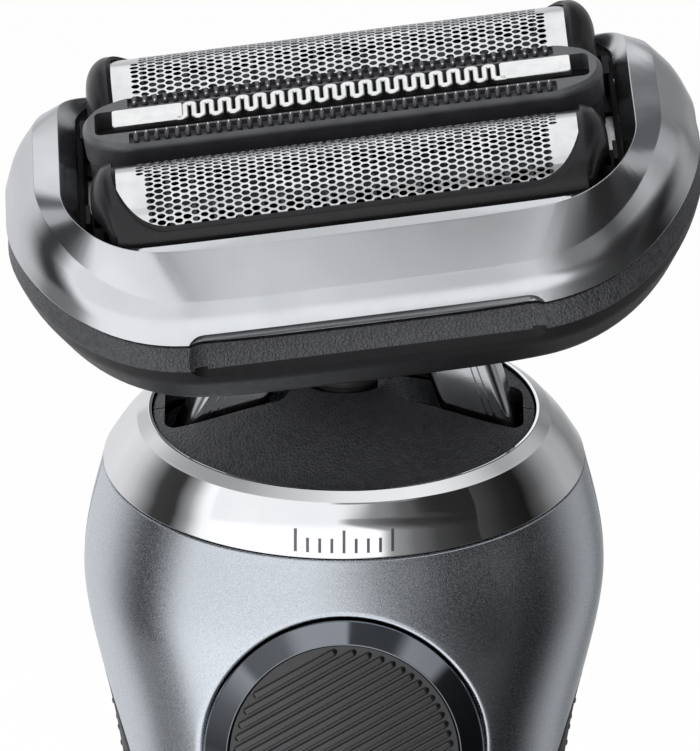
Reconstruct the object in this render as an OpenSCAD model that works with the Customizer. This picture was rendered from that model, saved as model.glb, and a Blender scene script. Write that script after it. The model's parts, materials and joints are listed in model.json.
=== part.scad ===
// Cordless foil shaver: tapered handle, floating head on two swing arms,
// lift-off cassette with two foils and a comb trimmer between them.

/* [Handle] */
// Height of the neck centre above the base
neck_h = 118; // [108:1:130]
// How far the neck centre stands behind the base centre
neck_y = 3; // [0:0.5:5]
// Greatest width, at the shoulder under the collar
shoulder_w = 47.7; // [45:0.1:52]
// Greatest depth, at the shoulder
shoulder_d = 36; // [34:0.5:40]
// Width at the waist
waist_w = 36; // [35:0.5:40]
// Depth at the waist
waist_d = 28; // [27:0.5:32]
// Height of the waist
waist_h = 62; // [56:1:66]
// Width at the base
base_w = 34.4; // [33:0.2:38]
// Depth at the base
base_d = 26.6; // [26:0.2:30]
// Height of the base cap
cap_h = 12; // [10:0.5:13]
// Wall of the casings
shell_wall = 1.8; // [1.4:0.1:2.2]
// Gap at each seam between two casings
seam = 0.15; // [0.1:0.05:0.3]

/* [Grips] */
// Height at which the tip of a side grip ends
grip_top_h = 104.3; // [100:0.1:106]
// Angle that a grip reaches round the handle, front and back
grip_reach = 42; // [30:1:48]

/* [Power button] */
// Height of the button centre below the neck
button_drop = 24.2; // [22:0.1:28]
// Radius of the round hole in the front casing
button_hole_r = 13.1; // [12.8:0.1:14]
// Width of the gloss bezel ring
bezel_w = 1.7; // [1.4:0.1:2.4]
// Running gap around the button
button_gap = 0.2; // [0.15:0.05:0.4]
// Travel of the button
button_travel = 0.8; // [0.5:0.1:1]
// Spacing of the diagonal ribs on the button
rib_pitch = 1.15; // [1:0.05:1.6]
// Angle of the ribs
rib_angle = 29; // [0:1:45]

/* [Neck] */
// Forward lean of the neck and the head
neck_lean = 21; // [15:0.5:24]
// Width of the collar at its foot
collar_w = 44.2; // [43:0.2:46]
// Depth of the collar at its foot
collar_d = 33.8; // [33:0.2:36]
// Height of the collar
collar_h = 5.1; // [4.5:0.1:6]
// Width of the dome inside the collar
dome_w = 35; // [34.6:0.1:36]
// Rise of the dome above the collar
dome_rise = 4.4; // [3.5:0.1:5]
// Wall of the dome
dome_wall = 1.5; // [1.2:0.1:1.8]

/* [Suspension] */
// Height of the virtual roll centre above the neck
roll_h = 37; // [36:0.5:38]
// Roll of the head at rest, from level
rest_roll = 7.2; // [0:0.4:8]
// Distance of each lower arm pivot from the middle
arm_foot_x = 14.9; // [14.5:0.1:15.1]
// Depth of the lower pivots below the neck plane
arm_foot_drop = 4; // [3.8:0.1:4.2]
// Depth of the upper pivots below the roll centre
arm_top_drop = 14; // [13.9:0.1:14.1]
// Width of a swing arm
arm_w = 5.8; // [5.4:0.1:6]
// Thickness of a swing arm
arm_t = 5.6; // [5:0.1:5.8]
// Radius of the lower hinge pins
foot_pin_r = 1.5; // [1.3:0.1:1.7]
// Radius of the upper pins
top_pin_r = 1.2; // [1:0.1:1.3]
// Running clearance of a hinge pin
pin_fit = 0.05; // [0.03:0.01:0.08]
// Clearance of the open upper pivots
open_fit = 0.5; // [0.4:0.05:0.6]
// Depth of the tilt axis below the roll centre
tilt_drop = 13.4; // [13.3:0.1:13.5]
// Radius of the tilt pins
tilt_pin_r = 1.5; // [1.3:0.1:1.6]

/* [Head] */
// Width of the head
head_w = 62.6; // [62:0.1:64]
// Reach of the head in front of the roll centre
head_front = 19.7; // [19.5:0.1:20.4]
// Reach of the head behind the roll centre
head_back = 18.3; // [18:0.1:18.6]
// Wall of the metal shroud
shroud_wall = 1.1; // [0.9:0.05:1.2]
// Wall of the lower head shell
head_wall = 1.4; // [1.2:0.1:1.5]
// Underside of the head below the roll centre
head_under = 17.6; // [17.4:0.1:18]
// Gap between the shroud and the lower shell
parting = 0.2; // [0.1:0.05:0.3]

/* [Foils and trimmer] */
// Distance of each foil centre from the middle
foil_y = 9; // [9:0.05:9.2]
// Outer radius of the foil arch
foil_r = 5.25; // [5.1:0.05:5.3]
// Length of each end cap of a foil frame, beyond the foil sheet
foil_cap = 2.3; // [2:0.1:2.6]
// Height of the arch centre above the roll centre
foil_z = -3.27; // [-3.4:0.01:-3.2]
// Thickness of the foil sheet
foil_t = 0.2; // [0.15:0.05:0.25]
// Room between the end of a foil frame and the mouth of the shroud
frame_room = 1.2; // [1:0.1:1.6]
// Float of the foils and the trimmer
float_travel = 1; // [0.6:0.1:1]
// Half stroke of the cutters
stroke = 1.2; // [0.6:0.1:1.2]
// Room between the end of the trimmer and the mouth of the shroud
trimmer_room = 0.9; // [0.7:0.1:1.4]
// Greatest width of the trimmer
trimmer_w = 8.4; // [8:0.1:8.6]
// Height of the trimmer's top face above the roll centre
trimmer_top = 2; // [1.8:0.1:2.2]
// Spacing of the comb teeth
comb_pitch = 0.93; // [0.8:0.01:1.2]
// Number of comb teeth in a row
comb_n = 41; // [31:2:43]

/* [Drive and battery] */
// Radius of the drive pins
drive_pin_r = 1; // [0.8:0.1:1.1]
// Diameter of the battery cell
cell_d = 14; // [12:0.5:14.2]
// Length of the battery cell
cell_l = 50; // [44:1:50]
// Width of the charging inlet
inlet_w = 11; // [10:0.5:12]
// Depth of the charging inlet, front to back
inlet_d = 6.4; // [6:0.2:7]
// Radius of a charging pin
pin_r = 0.9; // [0.8:0.05:1]
// Spacing of the charging pins
pin_gap = 5; // [4.6:0.1:5.4]

/* [Hidden] */
$fn = 48;
eps = 0.01;
fit = 0.3;                       // clearance between pieces of different bodies

// ---- handle form: stations from the base to the neck --------------------
// each row: [height, centre y, lean, half width, half depth, fullness]
shoulder_h = neck_h - 10;
STATIONS = [
    [0, 0, 0, base_w/2 - 2.4, base_d/2 - 2.4, 2.5],
    [0.9, 0, 0, base_w/2 - 0.75, base_d/2 - 0.75, 2.5],
    [3.2, 0, 0, base_w/2, base_d/2, 2.5],
    [cap_h, 0, 0, base_w/2 + 0.1, base_d/2 + 0.1, 2.5],
    [(cap_h + waist_h)/2, 0.2, 0, (base_w + waist_w)/4, (base_d + waist_d)/4, 2.5],
    [waist_h, 0.6, 0, waist_w/2, waist_d/2, 2.5],
    [neck_h - 38, neck_y*0.45, 4, waist_w/2 + 0.9, waist_d/2 + 0.8, 2.45],
    [neck_h - 24, neck_y*0.7, 10, shoulder_w/2 - 2.95, shoulder_d/2 - 1.7, 2.35],
    [shoulder_h, neck_y*0.87, 17.5*neck_lean/21, shoulder_w/2, shoulder_d/2, 2.15],
    [neck_h, neck_y, neck_lean, collar_w/2, collar_d/2, 2]
];
V_CAP = 3;                       // station where the base cap ends
V_TOP = len(STATIONS) - 1;
V_GRIP_FULL = 5.2;               // station below which a grip has its full reach
ring_n = 40;                     // points round half of the handle

function spline(p, q, r, s, t) = 0.5*(2*q + (r - p)*t + (2*p - 5*q + 4*r - s)*t*t
    + (3*q - p - 3*r + s)*t*t*t);
function row(k) = STATIONS[max(0, min(V_TOP, k))];
function station(v) = let (i = min(floor(v), V_TOP - 1))
    spline(row(i - 1), row(i), row(i + 1), row(i + 2), v - i);
function v_at(h, lo = 0, hi = V_TOP, n = 24) = n == 0 ? (lo + hi)/2 :
    let (m = (lo + hi)/2) station(m)[0] < h ? v_at(h, m, hi, n - 1) : v_at(h, lo, m, n - 1);
function spow(c, e) = sign(c)*pow(abs(c), e);
// point on the handle at station v and angle t, inset by off
function handle_pt(v, t, off = 0) = let (s = station(v),
    x = (s[3] - off)*spow(cos(t), 2/s[5]), y = (s[4] - off)*spow(sin(t), 2/s[5]))
    [x, s[1] + y*cos(s[2]), s[0] + y*sin(s[2])];
V_GRIP = v_at(grip_top_h);
function grip_angle(v) = let (s = (V_GRIP - v)/(V_GRIP - V_GRIP_FULL))
    v >= V_GRIP ? 0 : grip_reach*sin(90*min(1, s));
function seam_angle(v) = asin(seam/station(v)[3]);

// front face of the handle at the button
button_z = neck_h - button_drop;
face_y = handle_pt(v_at(button_z + 2.9), 270)[1];
bezel_r = button_hole_r - 0.45;
disc_r = bezel_r - bezel_w;

// ---- skins --------------------------------------------------------------
// closed tube through rings of equal length; the last ring joins the first
module ring_skin(rings) {
    m = len(rings);
    n = len(rings[0]);
    pts = [for (r = rings) each r];
    polyhedron(pts, [for (i = [0:m - 1], j = [0:n - 1])
        let (a = i*n + j, b = i*n + (j + 1)%n, c = ((i + 1)%m)*n + (j + 1)%n, d = ((i + 1)%m)*n + j)
        each [[a, c, b], [a, d, c]]], 4);
}
// solid through rings of equal length, closed by a flat lid at each end
module solid_skin(rings) {
    m = len(rings);
    n = len(rings[0]);
    pts = [for (r = rings) each r];
    polyhedron(pts, [[for (j = [0:n - 1]) j], [for (j = [0:n - 1]) m*n - 1 - j],
        for (i = [0:m - 2], j = [0:n - 1])
        let (a = i*n + j, b = i*n + (j + 1)%n, c = (i + 1)*n + (j + 1)%n, d = (i + 1)*n + j)
        each [[a, c, b], [a, d, c]]], 4);
}
// curved panel between an outer and an inner grid, each a list of rows
module panel(outer, inner) {
    m = len(outer);
    n = len(outer[0]);
    pts = [for (r = outer) each r, for (r = inner) each r];
    k = m*n;
    polyhedron(pts, [
        for (i = [0:m - 2], j = [0:n - 2]) let (a = i*n + j, d = a + n)
            each [[a, d + 1, a + 1], [a, d, d + 1], [k + a, k + a + 1, k + d + 1], [k + a, k + d + 1, k + d]],
        for (j = [0:n - 2]) let (a = j, d = (m - 1)*n + j)
            each [[a, a + 1, k + a + 1], [a, k + a + 1, k + a], [d, k + d + 1, d + 1], [d, k + d, k + d + 1]],
        for (i = [0:m - 2]) let (a = i*n, d = a + n, e = a + n - 1, f = e + n)
            each [[a, k + a, k + d], [a, k + d, d], [e, k + f, k + e], [e, f, k + f]]], 4);
}
// stretch of the handle's wall from station v0 to v1, between two angles that change with v
module handle_panel(v0, v1, rows, cols, lo, hi, wall = shell_wall) {
    vs = [for (i = [0:rows]) v0 + (v1 - v0)*i/rows];
    function line(v, off) = [for (j = [0:cols]) handle_pt(v, lo(v) + (hi(v) - lo(v))*j/cols, off)];
    panel([for (v = vs) line(v, 0)], [for (v = vs) line(v, wall)]);
}

// ---- frames -------------------------------------------------------------
module at_neck() translate([0, neck_y, neck_h]) rotate([neck_lean, 0, 0]) children();
// the roll axis runs level through the roll centre, so the neck's lean is undone, rolled and redone
module at_head() at_neck() translate([0, 0, roll_h]) rotate([-neck_lean, 0, 0]) rotate([0, -rest_roll, 0])
    rotate([neck_lean, 0, 0]) children();
// pivots of the swing arms, with Y along their level axes
module at_foot(s) at_neck() translate([s*arm_foot_x, 0, -arm_foot_drop]) rotate([-neck_lean, 0, 0]) children();
module at_top(s) at_head() translate([s*arm_top_x, 0, -arm_top_drop]) rotate([-neck_lean, 0, 0]) children();
module both_sides() {
    children();
    mirror([1, 0, 0]) children();
}
module tube_of(r, wall, h) difference() {
    cylinder(r = r, h = h);
    translate([0, 0, -eps]) cylinder(r = r - wall, h = h + 2*eps);
}
// flat slab with rounded corners, centred, from z = 0 up
module slab(w, d, h, r) {
    translate([-w/2 + r, -d/2, 0]) cube([w - 2*r, d, h]);
    translate([-w/2, -d/2 + r, 0]) cube([w, d - 2*r, h]);
    for (x = [-1, 1], y = [-1, 1]) translate([x*(w/2 - r), y*(d/2 - r), 0]) cylinder(r = r, h = h);
}
module lying_x(r, l) translate([-l/2, 0, 0]) rotate([0, 90, 0]) cylinder(r = r, h = l);
module lying_y(r, l) translate([0, l/2, 0]) rotate([90, 0, 0]) cylinder(r = r, h = l);

// ---- head form ----------------------------------------------------------
// each ring: [half width, front, back, front corner, back corner across, back corner deep,
//             height at the ends, height at the front, how late it drops, fall towards the back]
hw = head_w/2;
EDGE = [hw, head_front, head_back, 15, 19.5, 18, -4.6, -10.3, 4, 0];
CROWN = [hw - 1.1, head_front - 0.55, head_back - 0.3, 13.9, 17.6, 16.2, -2.2, -8.4, 4.4, 0];
CREASE = [hw - 3.1, head_front - 1.5, head_back - 0.9, 12.6, 15.5, 14.2, -0.2, -6.6, 5, 0];
INNER = [hw - 5.5, head_front - 3.9, head_back - 1.9, 8, 10.5, 9.5, 0.2, -2.6, 5, 3.4];
MOUTH = [hw - 6.9, head_front - 4.5, head_back - 2.9, 6, 7, 7, -1.9, -2, 3.5, 2.8];
UNDER = [hw - 3.1 - shroud_wall, head_front - 1.5 - shroud_wall, head_back - 0.9 - shroud_wall, 12.6 - shroud_wall,
    15.5 - shroud_wall, 14.2 - shroud_wall, -1.5, -6.9, 5, 3];
BAND = [hw - 0.4, head_front - 0.4, head_back - 0.4, 15, 19, 17.6, -8.8, -14, 4, 0];
KEEL = [hw - 2.5, head_front - 2.4, head_back - 1.6, 13.5, 17.5, 16, -13, -head_under, 4, 0];
function inset(ring, d, dz) = [ring[0] - d, ring[1] - d, ring[2] - d, ring[3] - d, ring[4] - d,
    ring[5] - d, ring[6] + dz, ring[7] + dz, ring[8], ring[9]];
corner_n = 8;
side_n = 8;
function head_ring(r) = let (a = r[0], f = r[1], b = r[2], p = r[3], qx = r[4], qy = r[5],
    flat = concat(
        [for (i = [0:1]) [a, -(f - p) + (b - qy + f - p)*i/2]],
        [for (i = [0:corner_n - 1]) let (t = 90*i/corner_n) [a - qx + qx*cos(t), b - qy + qy*sin(t)]],
        [for (i = [0:side_n - 1]) [(a - qx)*(1 - 2*i/side_n), b]],
        [for (i = [0:corner_n - 1]) let (t = 90 + 90*i/corner_n) [qx - a + qx*cos(t), b - qy + qy*sin(t)]],
        [for (i = [0:1]) [-a, b - qy - (b - qy + f - p)*i/2]],
        [for (i = [0:corner_n - 1]) let (t = 180 + 90*i/corner_n) [p - a + p*cos(t), p - f + p*sin(t)]],
        [for (i = [0:side_n - 1]) [(a - p)*(2*i/side_n - 1), -f]],
        [for (i = [0:corner_n - 1]) let (t = 270 + 90*i/corner_n) [a - p + p*cos(t), p - f + p*sin(t)]]))
    [for (q = flat) [q[0], q[1], r[7] + (r[6] - r[7])*pow(abs(q[0])/a, r[8]) - r[9]*pow(max(0, q[1])/b, 2)]];
function outline(r) = [for (q = head_ring(r)) [q[0], q[1]]];

// heights of the head's inner parts, from the roll centre
head_floor = -head_under + head_wall;
deck_top = -6;
deck_t = 0.8;
deck_w = head_w - 10.2;
deck_front = head_front - 4.1;
deck_back = head_back - 4.5;
frame_l = 2*(MOUTH[0] - frame_room);
foil_l = frame_l - 2*foil_cap;
trimmer_l = 2*(MOUTH[0] - trimmer_room);
deck_corner = 11;
carriage_top = deck_top - deck_t - 0.4;
carriage_t = 1.5;
carriage_w = 43;
carriage_d = 27;
magnet_t = 1.2;
coil_top = carriage_top - carriage_t - magnet_t - 0.7;
core_y = 10.2;
core_d = 5.8;
core_w = 30;
frame_half = 12.2;               // half length of the roll frame
frame_d = 10.8;
frame_top = -10.2;
frame_wall = 1.4;
arm_room = 0.7;                  // room on each face of an arm inside the roll frame, which it swings in
arm_top_x = arm_foot_x*arm_top_drop/(roll_h + arm_foot_drop);
neck_hole_w = 25.2;
neck_hole_d = 17;
ear_in = neck_hole_w/2 + 0.4;
ear_t = 2.6;
foil_bottom = -4.1;
frame_edge = foil_z + foil_r*cos(63);
cutter_r = foil_r - foil_t - 0.1;
cutter_bottom = -4.2;
cutter_l = foil_l - 2*stroke - 2.4;
drive_pin_top = -3;
blade_foot_x = MOUTH[0] - 7.4;
flange_bottom = deck_top + 0.15;
flange_t = 0.5;
mouth_lip = 1.5;                 // how far the shroud turns down inside its mouth
channel_w = 3.8;
channel_z = 0.2;
neck_plate_top = -7.5;
neck_plate_t = 1.5;
neck_plate_w = 33;
neck_plate_d = 16;

// ==== handle =============================================================
// painted metal front casing with the button hole
module front_shell() color("slategray") difference() {
    handle_panel(V_CAP + 0.02, V_TOP, 20, 26, function(v) 180 + grip_angle(v) + seam_angle(v),
        function(v) 360 - grip_angle(v) - seam_angle(v));
    translate([0, face_y + 6, button_z]) rotate([90, 0, 0]) cylinder(r = button_hole_r, h = 14);
    translate([0, lens_front + 6, lens_z]) rotate([90, 0, 0]) cylinder(r = lens_r, h = 14);
}
lens_r = 1.2;
lens_z = button_z - button_hole_r - 9;
lens_front = handle_pt(v_at(lens_z), 270)[1];

// rear casing
module rear_cover() color("dimgray") handle_panel(V_CAP + 0.02, V_TOP, 20, 26,
    function(v) grip_angle(v) + seam_angle(v), function(v) 180 - grip_angle(v) - seam_angle(v));

// soft grips set into both flanks
module side_grip(mid) color([0.1, 0.1, 0.11]) handle_panel(V_CAP + 0.02, V_GRIP - 0.1, 14, 8,
    function(v) mid - grip_angle(v) + 2*seam_angle(v), function(v) mid + grip_angle(v) - 2*seam_angle(v));
module left_side_grip() side_grip(180);
module right_side_grip() side_grip(0);

// cap that closes the bottom and frames the inlet
cap_floor = 2.4;
module base_cap() color([0.12, 0.12, 0.13]) difference() {
    solid_skin(concat(
        [for (v = [0, 0.5, 1, 1.5, 2, V_CAP]) cap_ring(v, 0)],
        [cap_ring(V_CAP, shell_wall), cap_ring(2.4, shell_wall), [for (p = cap_ring(2, shell_wall)) [p[0], p[1], cap_floor]]]));
    translate([0, 0, -eps]) slab(inlet_w + 2.4 + 0.1, inlet_d + 2.4 + 0.1, cap_floor + 1, inlet_d/2 + 1.2);
    for (s = [-1, 1]) translate([s*base_screw_x, 0, -eps]) {
        cylinder(r = 0.85, h = cap_floor + 1);
        cylinder(r = 1.6, h = 1.2 + eps);
    }
}
function cap_ring(v, off) = [for (j = [0:2*ring_n - 1]) handle_pt(v, 360*j/(2*ring_n), off)];
base_screw_x = inlet_w/2 + 4.4;

// oval cup of the charging inlet, with its two contact pins
inlet_h = 14;
inlet_roof = 12;
module charge_inlet() color([0.08, 0.08, 0.08]) difference() {
    translate([0, 0, 0.3]) slab(inlet_w + 2.4, inlet_d + 2.4, inlet_h - 0.3, inlet_d/2 + 1.2 - eps);
    translate([0, 0, -eps]) slab(inlet_w, inlet_d, inlet_roof, inlet_d/2 - eps);
    for (s = [-1, 1]) translate([s*pin_gap/2, 0, 0]) cylinder(r = pin_r - pin_shoulder, h = inlet_h + 1);
}
pin_shoulder = 0.25;             // step by which a pin seats on the roof of the cup
pin_l = 5;
module charge_pins() color("gold") for (s = [-1, 1]) translate([s*pin_gap/2, 0, inlet_roof]) {
    translate([0, 0, -pin_l]) cylinder(r = pin_r, h = pin_l);
    translate([0, 0, -eps]) cylinder(r = pin_r - pin_shoulder, h = inlet_h - inlet_roof + eps);
}
module base_screws() color("silver") for (s = [-1, 1]) translate([s*base_screw_x, 0, 0]) difference() {
    union() {
        translate([0, 0, 0.35]) cylinder(r = 1.5, h = 0.85);
        translate([0, 0, 1.2 - eps]) cylinder(r = 0.8, h = chassis_bottom + 3 - 1.2);
    }
    translate([-1.2, -0.2, 0]) cube([2.4, 0.4, 0.75]);
}

// inner frame: a trough for the cell, with a bay for the circuit board above it
chassis_bottom = inlet_h;
chassis_w = 25;
chassis_wall = 1.6;
chassis_front = -7;
chassis_back = 9.6;
cell_z = chassis_bottom + chassis_wall + 2.4;
cell_y = 1.6;
bay_z = cell_z + cell_l + 2.4;
board_y = -4.6;
board_t = 1.2;
board_w = 21;
board_z = bay_z + chassis_wall + 0.6;
board_top = button_z + 9;
module below_neck_plate() at_neck() translate([-40, -40, neck_plate_top - neck_plate_t - 130])
    cube([80, 80, 130]);
module chassis() color([0.75, 0.76, 0.78]) difference() {
    intersection() {
        translate([-chassis_w/2, chassis_front, chassis_bottom])
            cube([chassis_w, chassis_back - chassis_front, neck_h - chassis_bottom]);
        translate([0, (chassis_back + chassis_front)/2 - 4, chassis_bottom])
            slab(chassis_w, chassis_back - chassis_front + 8, neck_h, 3.6);
        below_neck_plate();
    }
    // cell trough, open to the front
    translate([-chassis_w/2 + chassis_wall, chassis_front - 1, chassis_bottom + chassis_wall])
        cube([chassis_w - 2*chassis_wall, chassis_back - chassis_front - chassis_wall + 1, 2]);
    translate([-chassis_w/2 + chassis_wall, chassis_front - 1, cell_z - 0.4 + 8])
        cube([chassis_w - 2*chassis_wall, chassis_back - chassis_front - chassis_wall + 1, cell_l - 15.2]);
    translate([0, cell_y, cell_z - 0.5]) cylinder(r = cell_d/2 + 0.1, h = cell_l + 1);
    translate([-cell_d/2 - 0.1, chassis_front - 1, cell_z - 0.5])
        cube([cell_d + 0.2, cell_y - chassis_front + 1, cell_l + 1]);
    translate([-cell_d/2 - 0.1, chassis_front - 1, cell_z - 2.5]) cube([cell_d + 0.2, 14, cell_l + 5]);
    // board bay
    translate([-chassis_w/2 + chassis_wall, chassis_front - 1, bay_z + chassis_wall])
        cube([chassis_w - 2*chassis_wall, board_y + board_t - chassis_front + 1, 60]);
    translate([-chassis_w/2 + 2.6, chassis_front - 1, bay_z + chassis_wall])
        cube([chassis_w - 5.2, chassis_back - chassis_front - chassis_wall + 1, board_top - bay_z - 2]);
    for (s = [-1, 1]) translate([s*base_screw_x, 0, chassis_bottom - eps]) cylinder(r = 0.85, h = 4);
    neck_screw_places() translate([0, 0, -8]) cylinder(r = 0.85, h = 8);
}
module battery_cell() color("seagreen") translate([0, cell_y, cell_z]) {
    cylinder(r = cell_d/2, h = cell_l - 1.5);
    translate([0, 0, cell_l - 1.5 - eps]) cylinder(r = cell_d/2 - 1, h = 0.8);
    translate([0, 0, cell_l - 0.8]) cylinder(r = 2.5, h = 0.8);
}
// spring tabs at both ends of the cell
module battery_contacts() color("silver") {
    for (z = [cell_z - 0.6, cell_z + cell_l + 0.1]) translate([-4, cell_y - 4, z]) cube([8, 8, 0.5]);
    translate([-2, cell_y, cell_z - 2.4]) cube([4, 4, 1.8]);
    translate([-2, cell_y, cell_z + cell_l + 0.6]) cube([4, 4, 1.8]);
}
module circuit_board() color("darkgreen") translate([-board_w/2, board_y, board_z])
    cube([board_w, board_t, board_top - board_z]);
// coil, capacitors, controller and connector on the back of the board
module board_parts() color([0.2, 0.2, 0.22]) translate([0, board_y + board_t, board_z]) {
    translate([-4.6, 0, 16]) rotate([-90, 0, 0]) cylinder(r = 3.6, h = 3.4);
    for (x = [3.4, 7]) translate([x, 0, 18]) rotate([-90, 0, 0]) cylinder(r = 1.5, h = 4.6);
    translate([-3.5, 0, 4]) cube([7, 1.1, 7]);
    translate([5, 0, 5]) cube([3, 1.4, 5]);
    translate([-5, 0, board_top - board_z - 5]) cube([10, 2.6, 4]);
}
switch_d = 3.4;
switch_y = board_y - switch_d;
module tactile_switch() color([0.15, 0.15, 0.16]) {
    translate([-3, board_y - 2, button_z - 3]) cube([6, 2, 6]);
    translate([0, board_y - 2 + eps, button_z]) rotate([90, 0, 0]) cylinder(r = 1.6, h = switch_d - 2);
}
module charge_light_lens() color("ghostwhite") translate([0, chassis_front - 0.3, lens_z])
    rotate([90, 0, 0]) cylinder(r = lens_r - 0.05, h = chassis_front - 0.3 - lens_front);

// ==== power button =======================================================
// y places of the button stack, from the front face inwards
bezel_front = face_y - 0.5;
disc_front = face_y - 0.1;
plunger_r = 2.4;
plunger_end = -switch_y + button_travel + 0.15;
module on_button() translate([0, 0, button_z]) rotate([90, 0, 0]) children();
// gloss ring, bevelled towards the disc
module button_bezel() color([0.05, 0.05, 0.06]) on_button() rotate_extrude($fn = 96)
    polygon([[disc_r, -bezel_front - 4], [disc_r, -bezel_front - 0.25], [disc_r + 0.25, -bezel_front],
        [bezel_r - 0.2, -face_y - 0.75], [bezel_r, -face_y - 1.1], [bezel_r, -bezel_front - 4]]);
module power_button() color([0.14, 0.14, 0.15]) on_button() {
    translate([0, 0, -disc_front - 2]) cylinder(r = disc_r - button_gap, h = 1.6, $fn = 96);
    intersection() {
        translate([0, 0, -disc_front - 0.5]) cylinder(r = disc_r - button_gap - 0.6, h = 0.5, $fn = 96);
        rotate([0, 0, rib_angle]) for (i = [-9:9]) translate([-20, (i - 0.29)*rib_pitch, -disc_front - 1])
            cube([40, rib_pitch*0.58, 2]);
    }
    translate([0, 0, plunger_end]) cylinder(r = plunger_r, h = -disc_front - 2 - plunger_end + eps);
}
// thin membrane behind the disc, around the plunger
module button_seal() color([0.1, 0.1, 0.1]) on_button()
    translate([0, 0, -bezel_front - 4.7]) difference() {
        cylinder(r = bezel_r, h = 0.7);
        translate([0, 0, -eps]) cylinder(r = plunger_r + fit, h = 1);
    }

// ==== neck ===============================================================
function ellipse_ring(a, b, z, n = 72) = [for (j = [0:n - 1]) [a*cos(360*j/n), b*sin(360*j/n), z]];
cw = collar_w/2;
cd = collar_d/2;
dw = dome_w/2;
dd = dome_w/2*collar_d/collar_w;
// polished collar: sloping band, crease and lip
module collar_ring() color("lightgray") at_neck() ring_skin([
    ellipse_ring(cw, cd, 0.05),
    ellipse_ring(cw - 1.35, cd - 1.05, collar_h*0.47),
    ellipse_ring(dw + 1.5, dd + 1.15, collar_h - 0.3),
    ellipse_ring(dw + 0.9, dd + 0.7, collar_h),
    ellipse_ring(dw + 0.1, dd + 0.1, collar_h),
    ellipse_ring(dw + 0.1, dd + 0.1, collar_h - 1.8),
    ellipse_ring(cw - 2, cd - 2, 0.05)]);
// seal between the collar and the casings
module neck_gasket() color([0.05, 0.05, 0.05]) at_neck() ring_skin([
    ellipse_ring(cw - 2.2, cd - 2.2, 0), ellipse_ring(dw + 0.2, dd + 0.2, collar_h - 2.2),
    ellipse_ring(dw - 0.1, dd - 0.1, collar_h - dome_wall - 0.05),
    ellipse_ring(dw - 0.7, dd - 0.7, collar_h - dome_wall - 0.05), ellipse_ring(cw - 3.2, cd - 3.2, 0)]);
boot_r = 4.4;
slot_in = boot_r + 0.6;
slot_out = arm_foot_x + 1.5;
slot_half = arm_t/2 + 2*fit;
function dome_z(s) = collar_h + dome_rise*pow(1 - s*s, 1.7);
// half of the grained dome, with the slots that the arms swing in
module half_dome(t0) at_neck() difference() {
    scales = [for (i = [0:9]) 1 - (1 - boot_r/dw)*i/9];
    panel([for (s = scales) [for (j = [0:28]) dome_pt(s, t0 + (180 - 2*0.3)*j/28, 0)]],
        [for (s = scales) [for (j = [0:28]) dome_pt(s, t0 + (180 - 2*0.3)*j/28, dome_wall)]]);
    both_sides() translate([(slot_in + slot_out)/2, 0, 0]) slab(slot_out - slot_in, 2*slot_half, 20, 1);
}
function dome_pt(s, t, down) = [dw*s*cos(t), dd*s*sin(t), dome_z(s) - down];
module neck_dome_front() color([0.2, 0.2, 0.21]) half_dome(180.3);
module neck_dome_rear() color([0.2, 0.2, 0.21]) half_dome(0.3);
// rubber boot where the motor lead leaves the neck
module neck_boot() color([0.06, 0.06, 0.06]) at_neck() rotate_extrude() polygon([[1.2, 6], [boot_r*0.7, 6],
    [boot_r*0.7, dome_z(0) - 0.9], [boot_r*0.74, dome_z(0) - 0.2], [boot_r*0.9, dome_z(0) + 0.4],
    [boot_r*0.86, dome_z(0) + 1.5], [3, dome_z(0) + 1.9], [3, dome_z(0) + 3.3],
    [2.2, dome_z(0) + 3.7], [2.2, dome_z(0) + 5], [1.2, dome_z(0) + 5]]);
// plate with ears for the lower arm hinges
ear_y = arm_t/2 + fit;
bracket_ear = 1.8;
module arm_bracket() color("silver") difference() {
    at_neck() bracket_body();
    for (s = [-1, 1]) at_foot(s) lying_y(foot_pin_r, 30);
}
module bracket_body() difference() {
    union() {
        translate([0, 0, neck_plate_top - neck_plate_t]) slab(neck_plate_w, neck_plate_d, neck_plate_t, 3);
        for (s = [-1, 1], y = [-ear_y - bracket_ear, ear_y])
            translate([s*arm_foot_x - 2.6, y, neck_plate_top - eps]) cube([5.2, bracket_ear, 6.4]);
    }
    neck_screw_local() translate([0, 0, -3]) cylinder(r = 0.85, h = 4);
}
// level pins, dressed so that their ends stay inside the outer faces y of what holds them
module pivot_pin(r, y) lying_y(r, 2*(y - r*sin(neck_lean))/cos(neck_lean));
module arm_hinge_pins() color("lightgray") for (s = [-1, 1]) at_foot(s) pivot_pin(foot_pin_r, ear_y + bracket_ear);
module neck_screw_local() for (s = [-1, 1]) translate([s*7.5, 0, neck_plate_top]) children();
module neck_screw_places() at_neck() neck_screw_local() children();
module neck_screws() color("silver") neck_screw_places() {
    cylinder(r = 1.6, h = 1);
    translate([0, 0, -6]) cylinder(r = 0.8, h = 6 + eps);
}

// ==== suspension =========================================================
// point p of the head frame, seen from the neck frame
function tipped(p, a) = [p[0], p[1]*cos(a) - p[2]*sin(a), p[1]*sin(a) + p[2]*cos(a)];
function rolled(p) = [p[0]*cos(rest_roll) - p[2]*sin(rest_roll), p[1], p[0]*sin(rest_roll) + p[2]*cos(rest_roll)];
function head_to_neck(p) = tipped(rolled(tipped(p, neck_lean)), -neck_lean) + [0, 0, roll_h];
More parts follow.
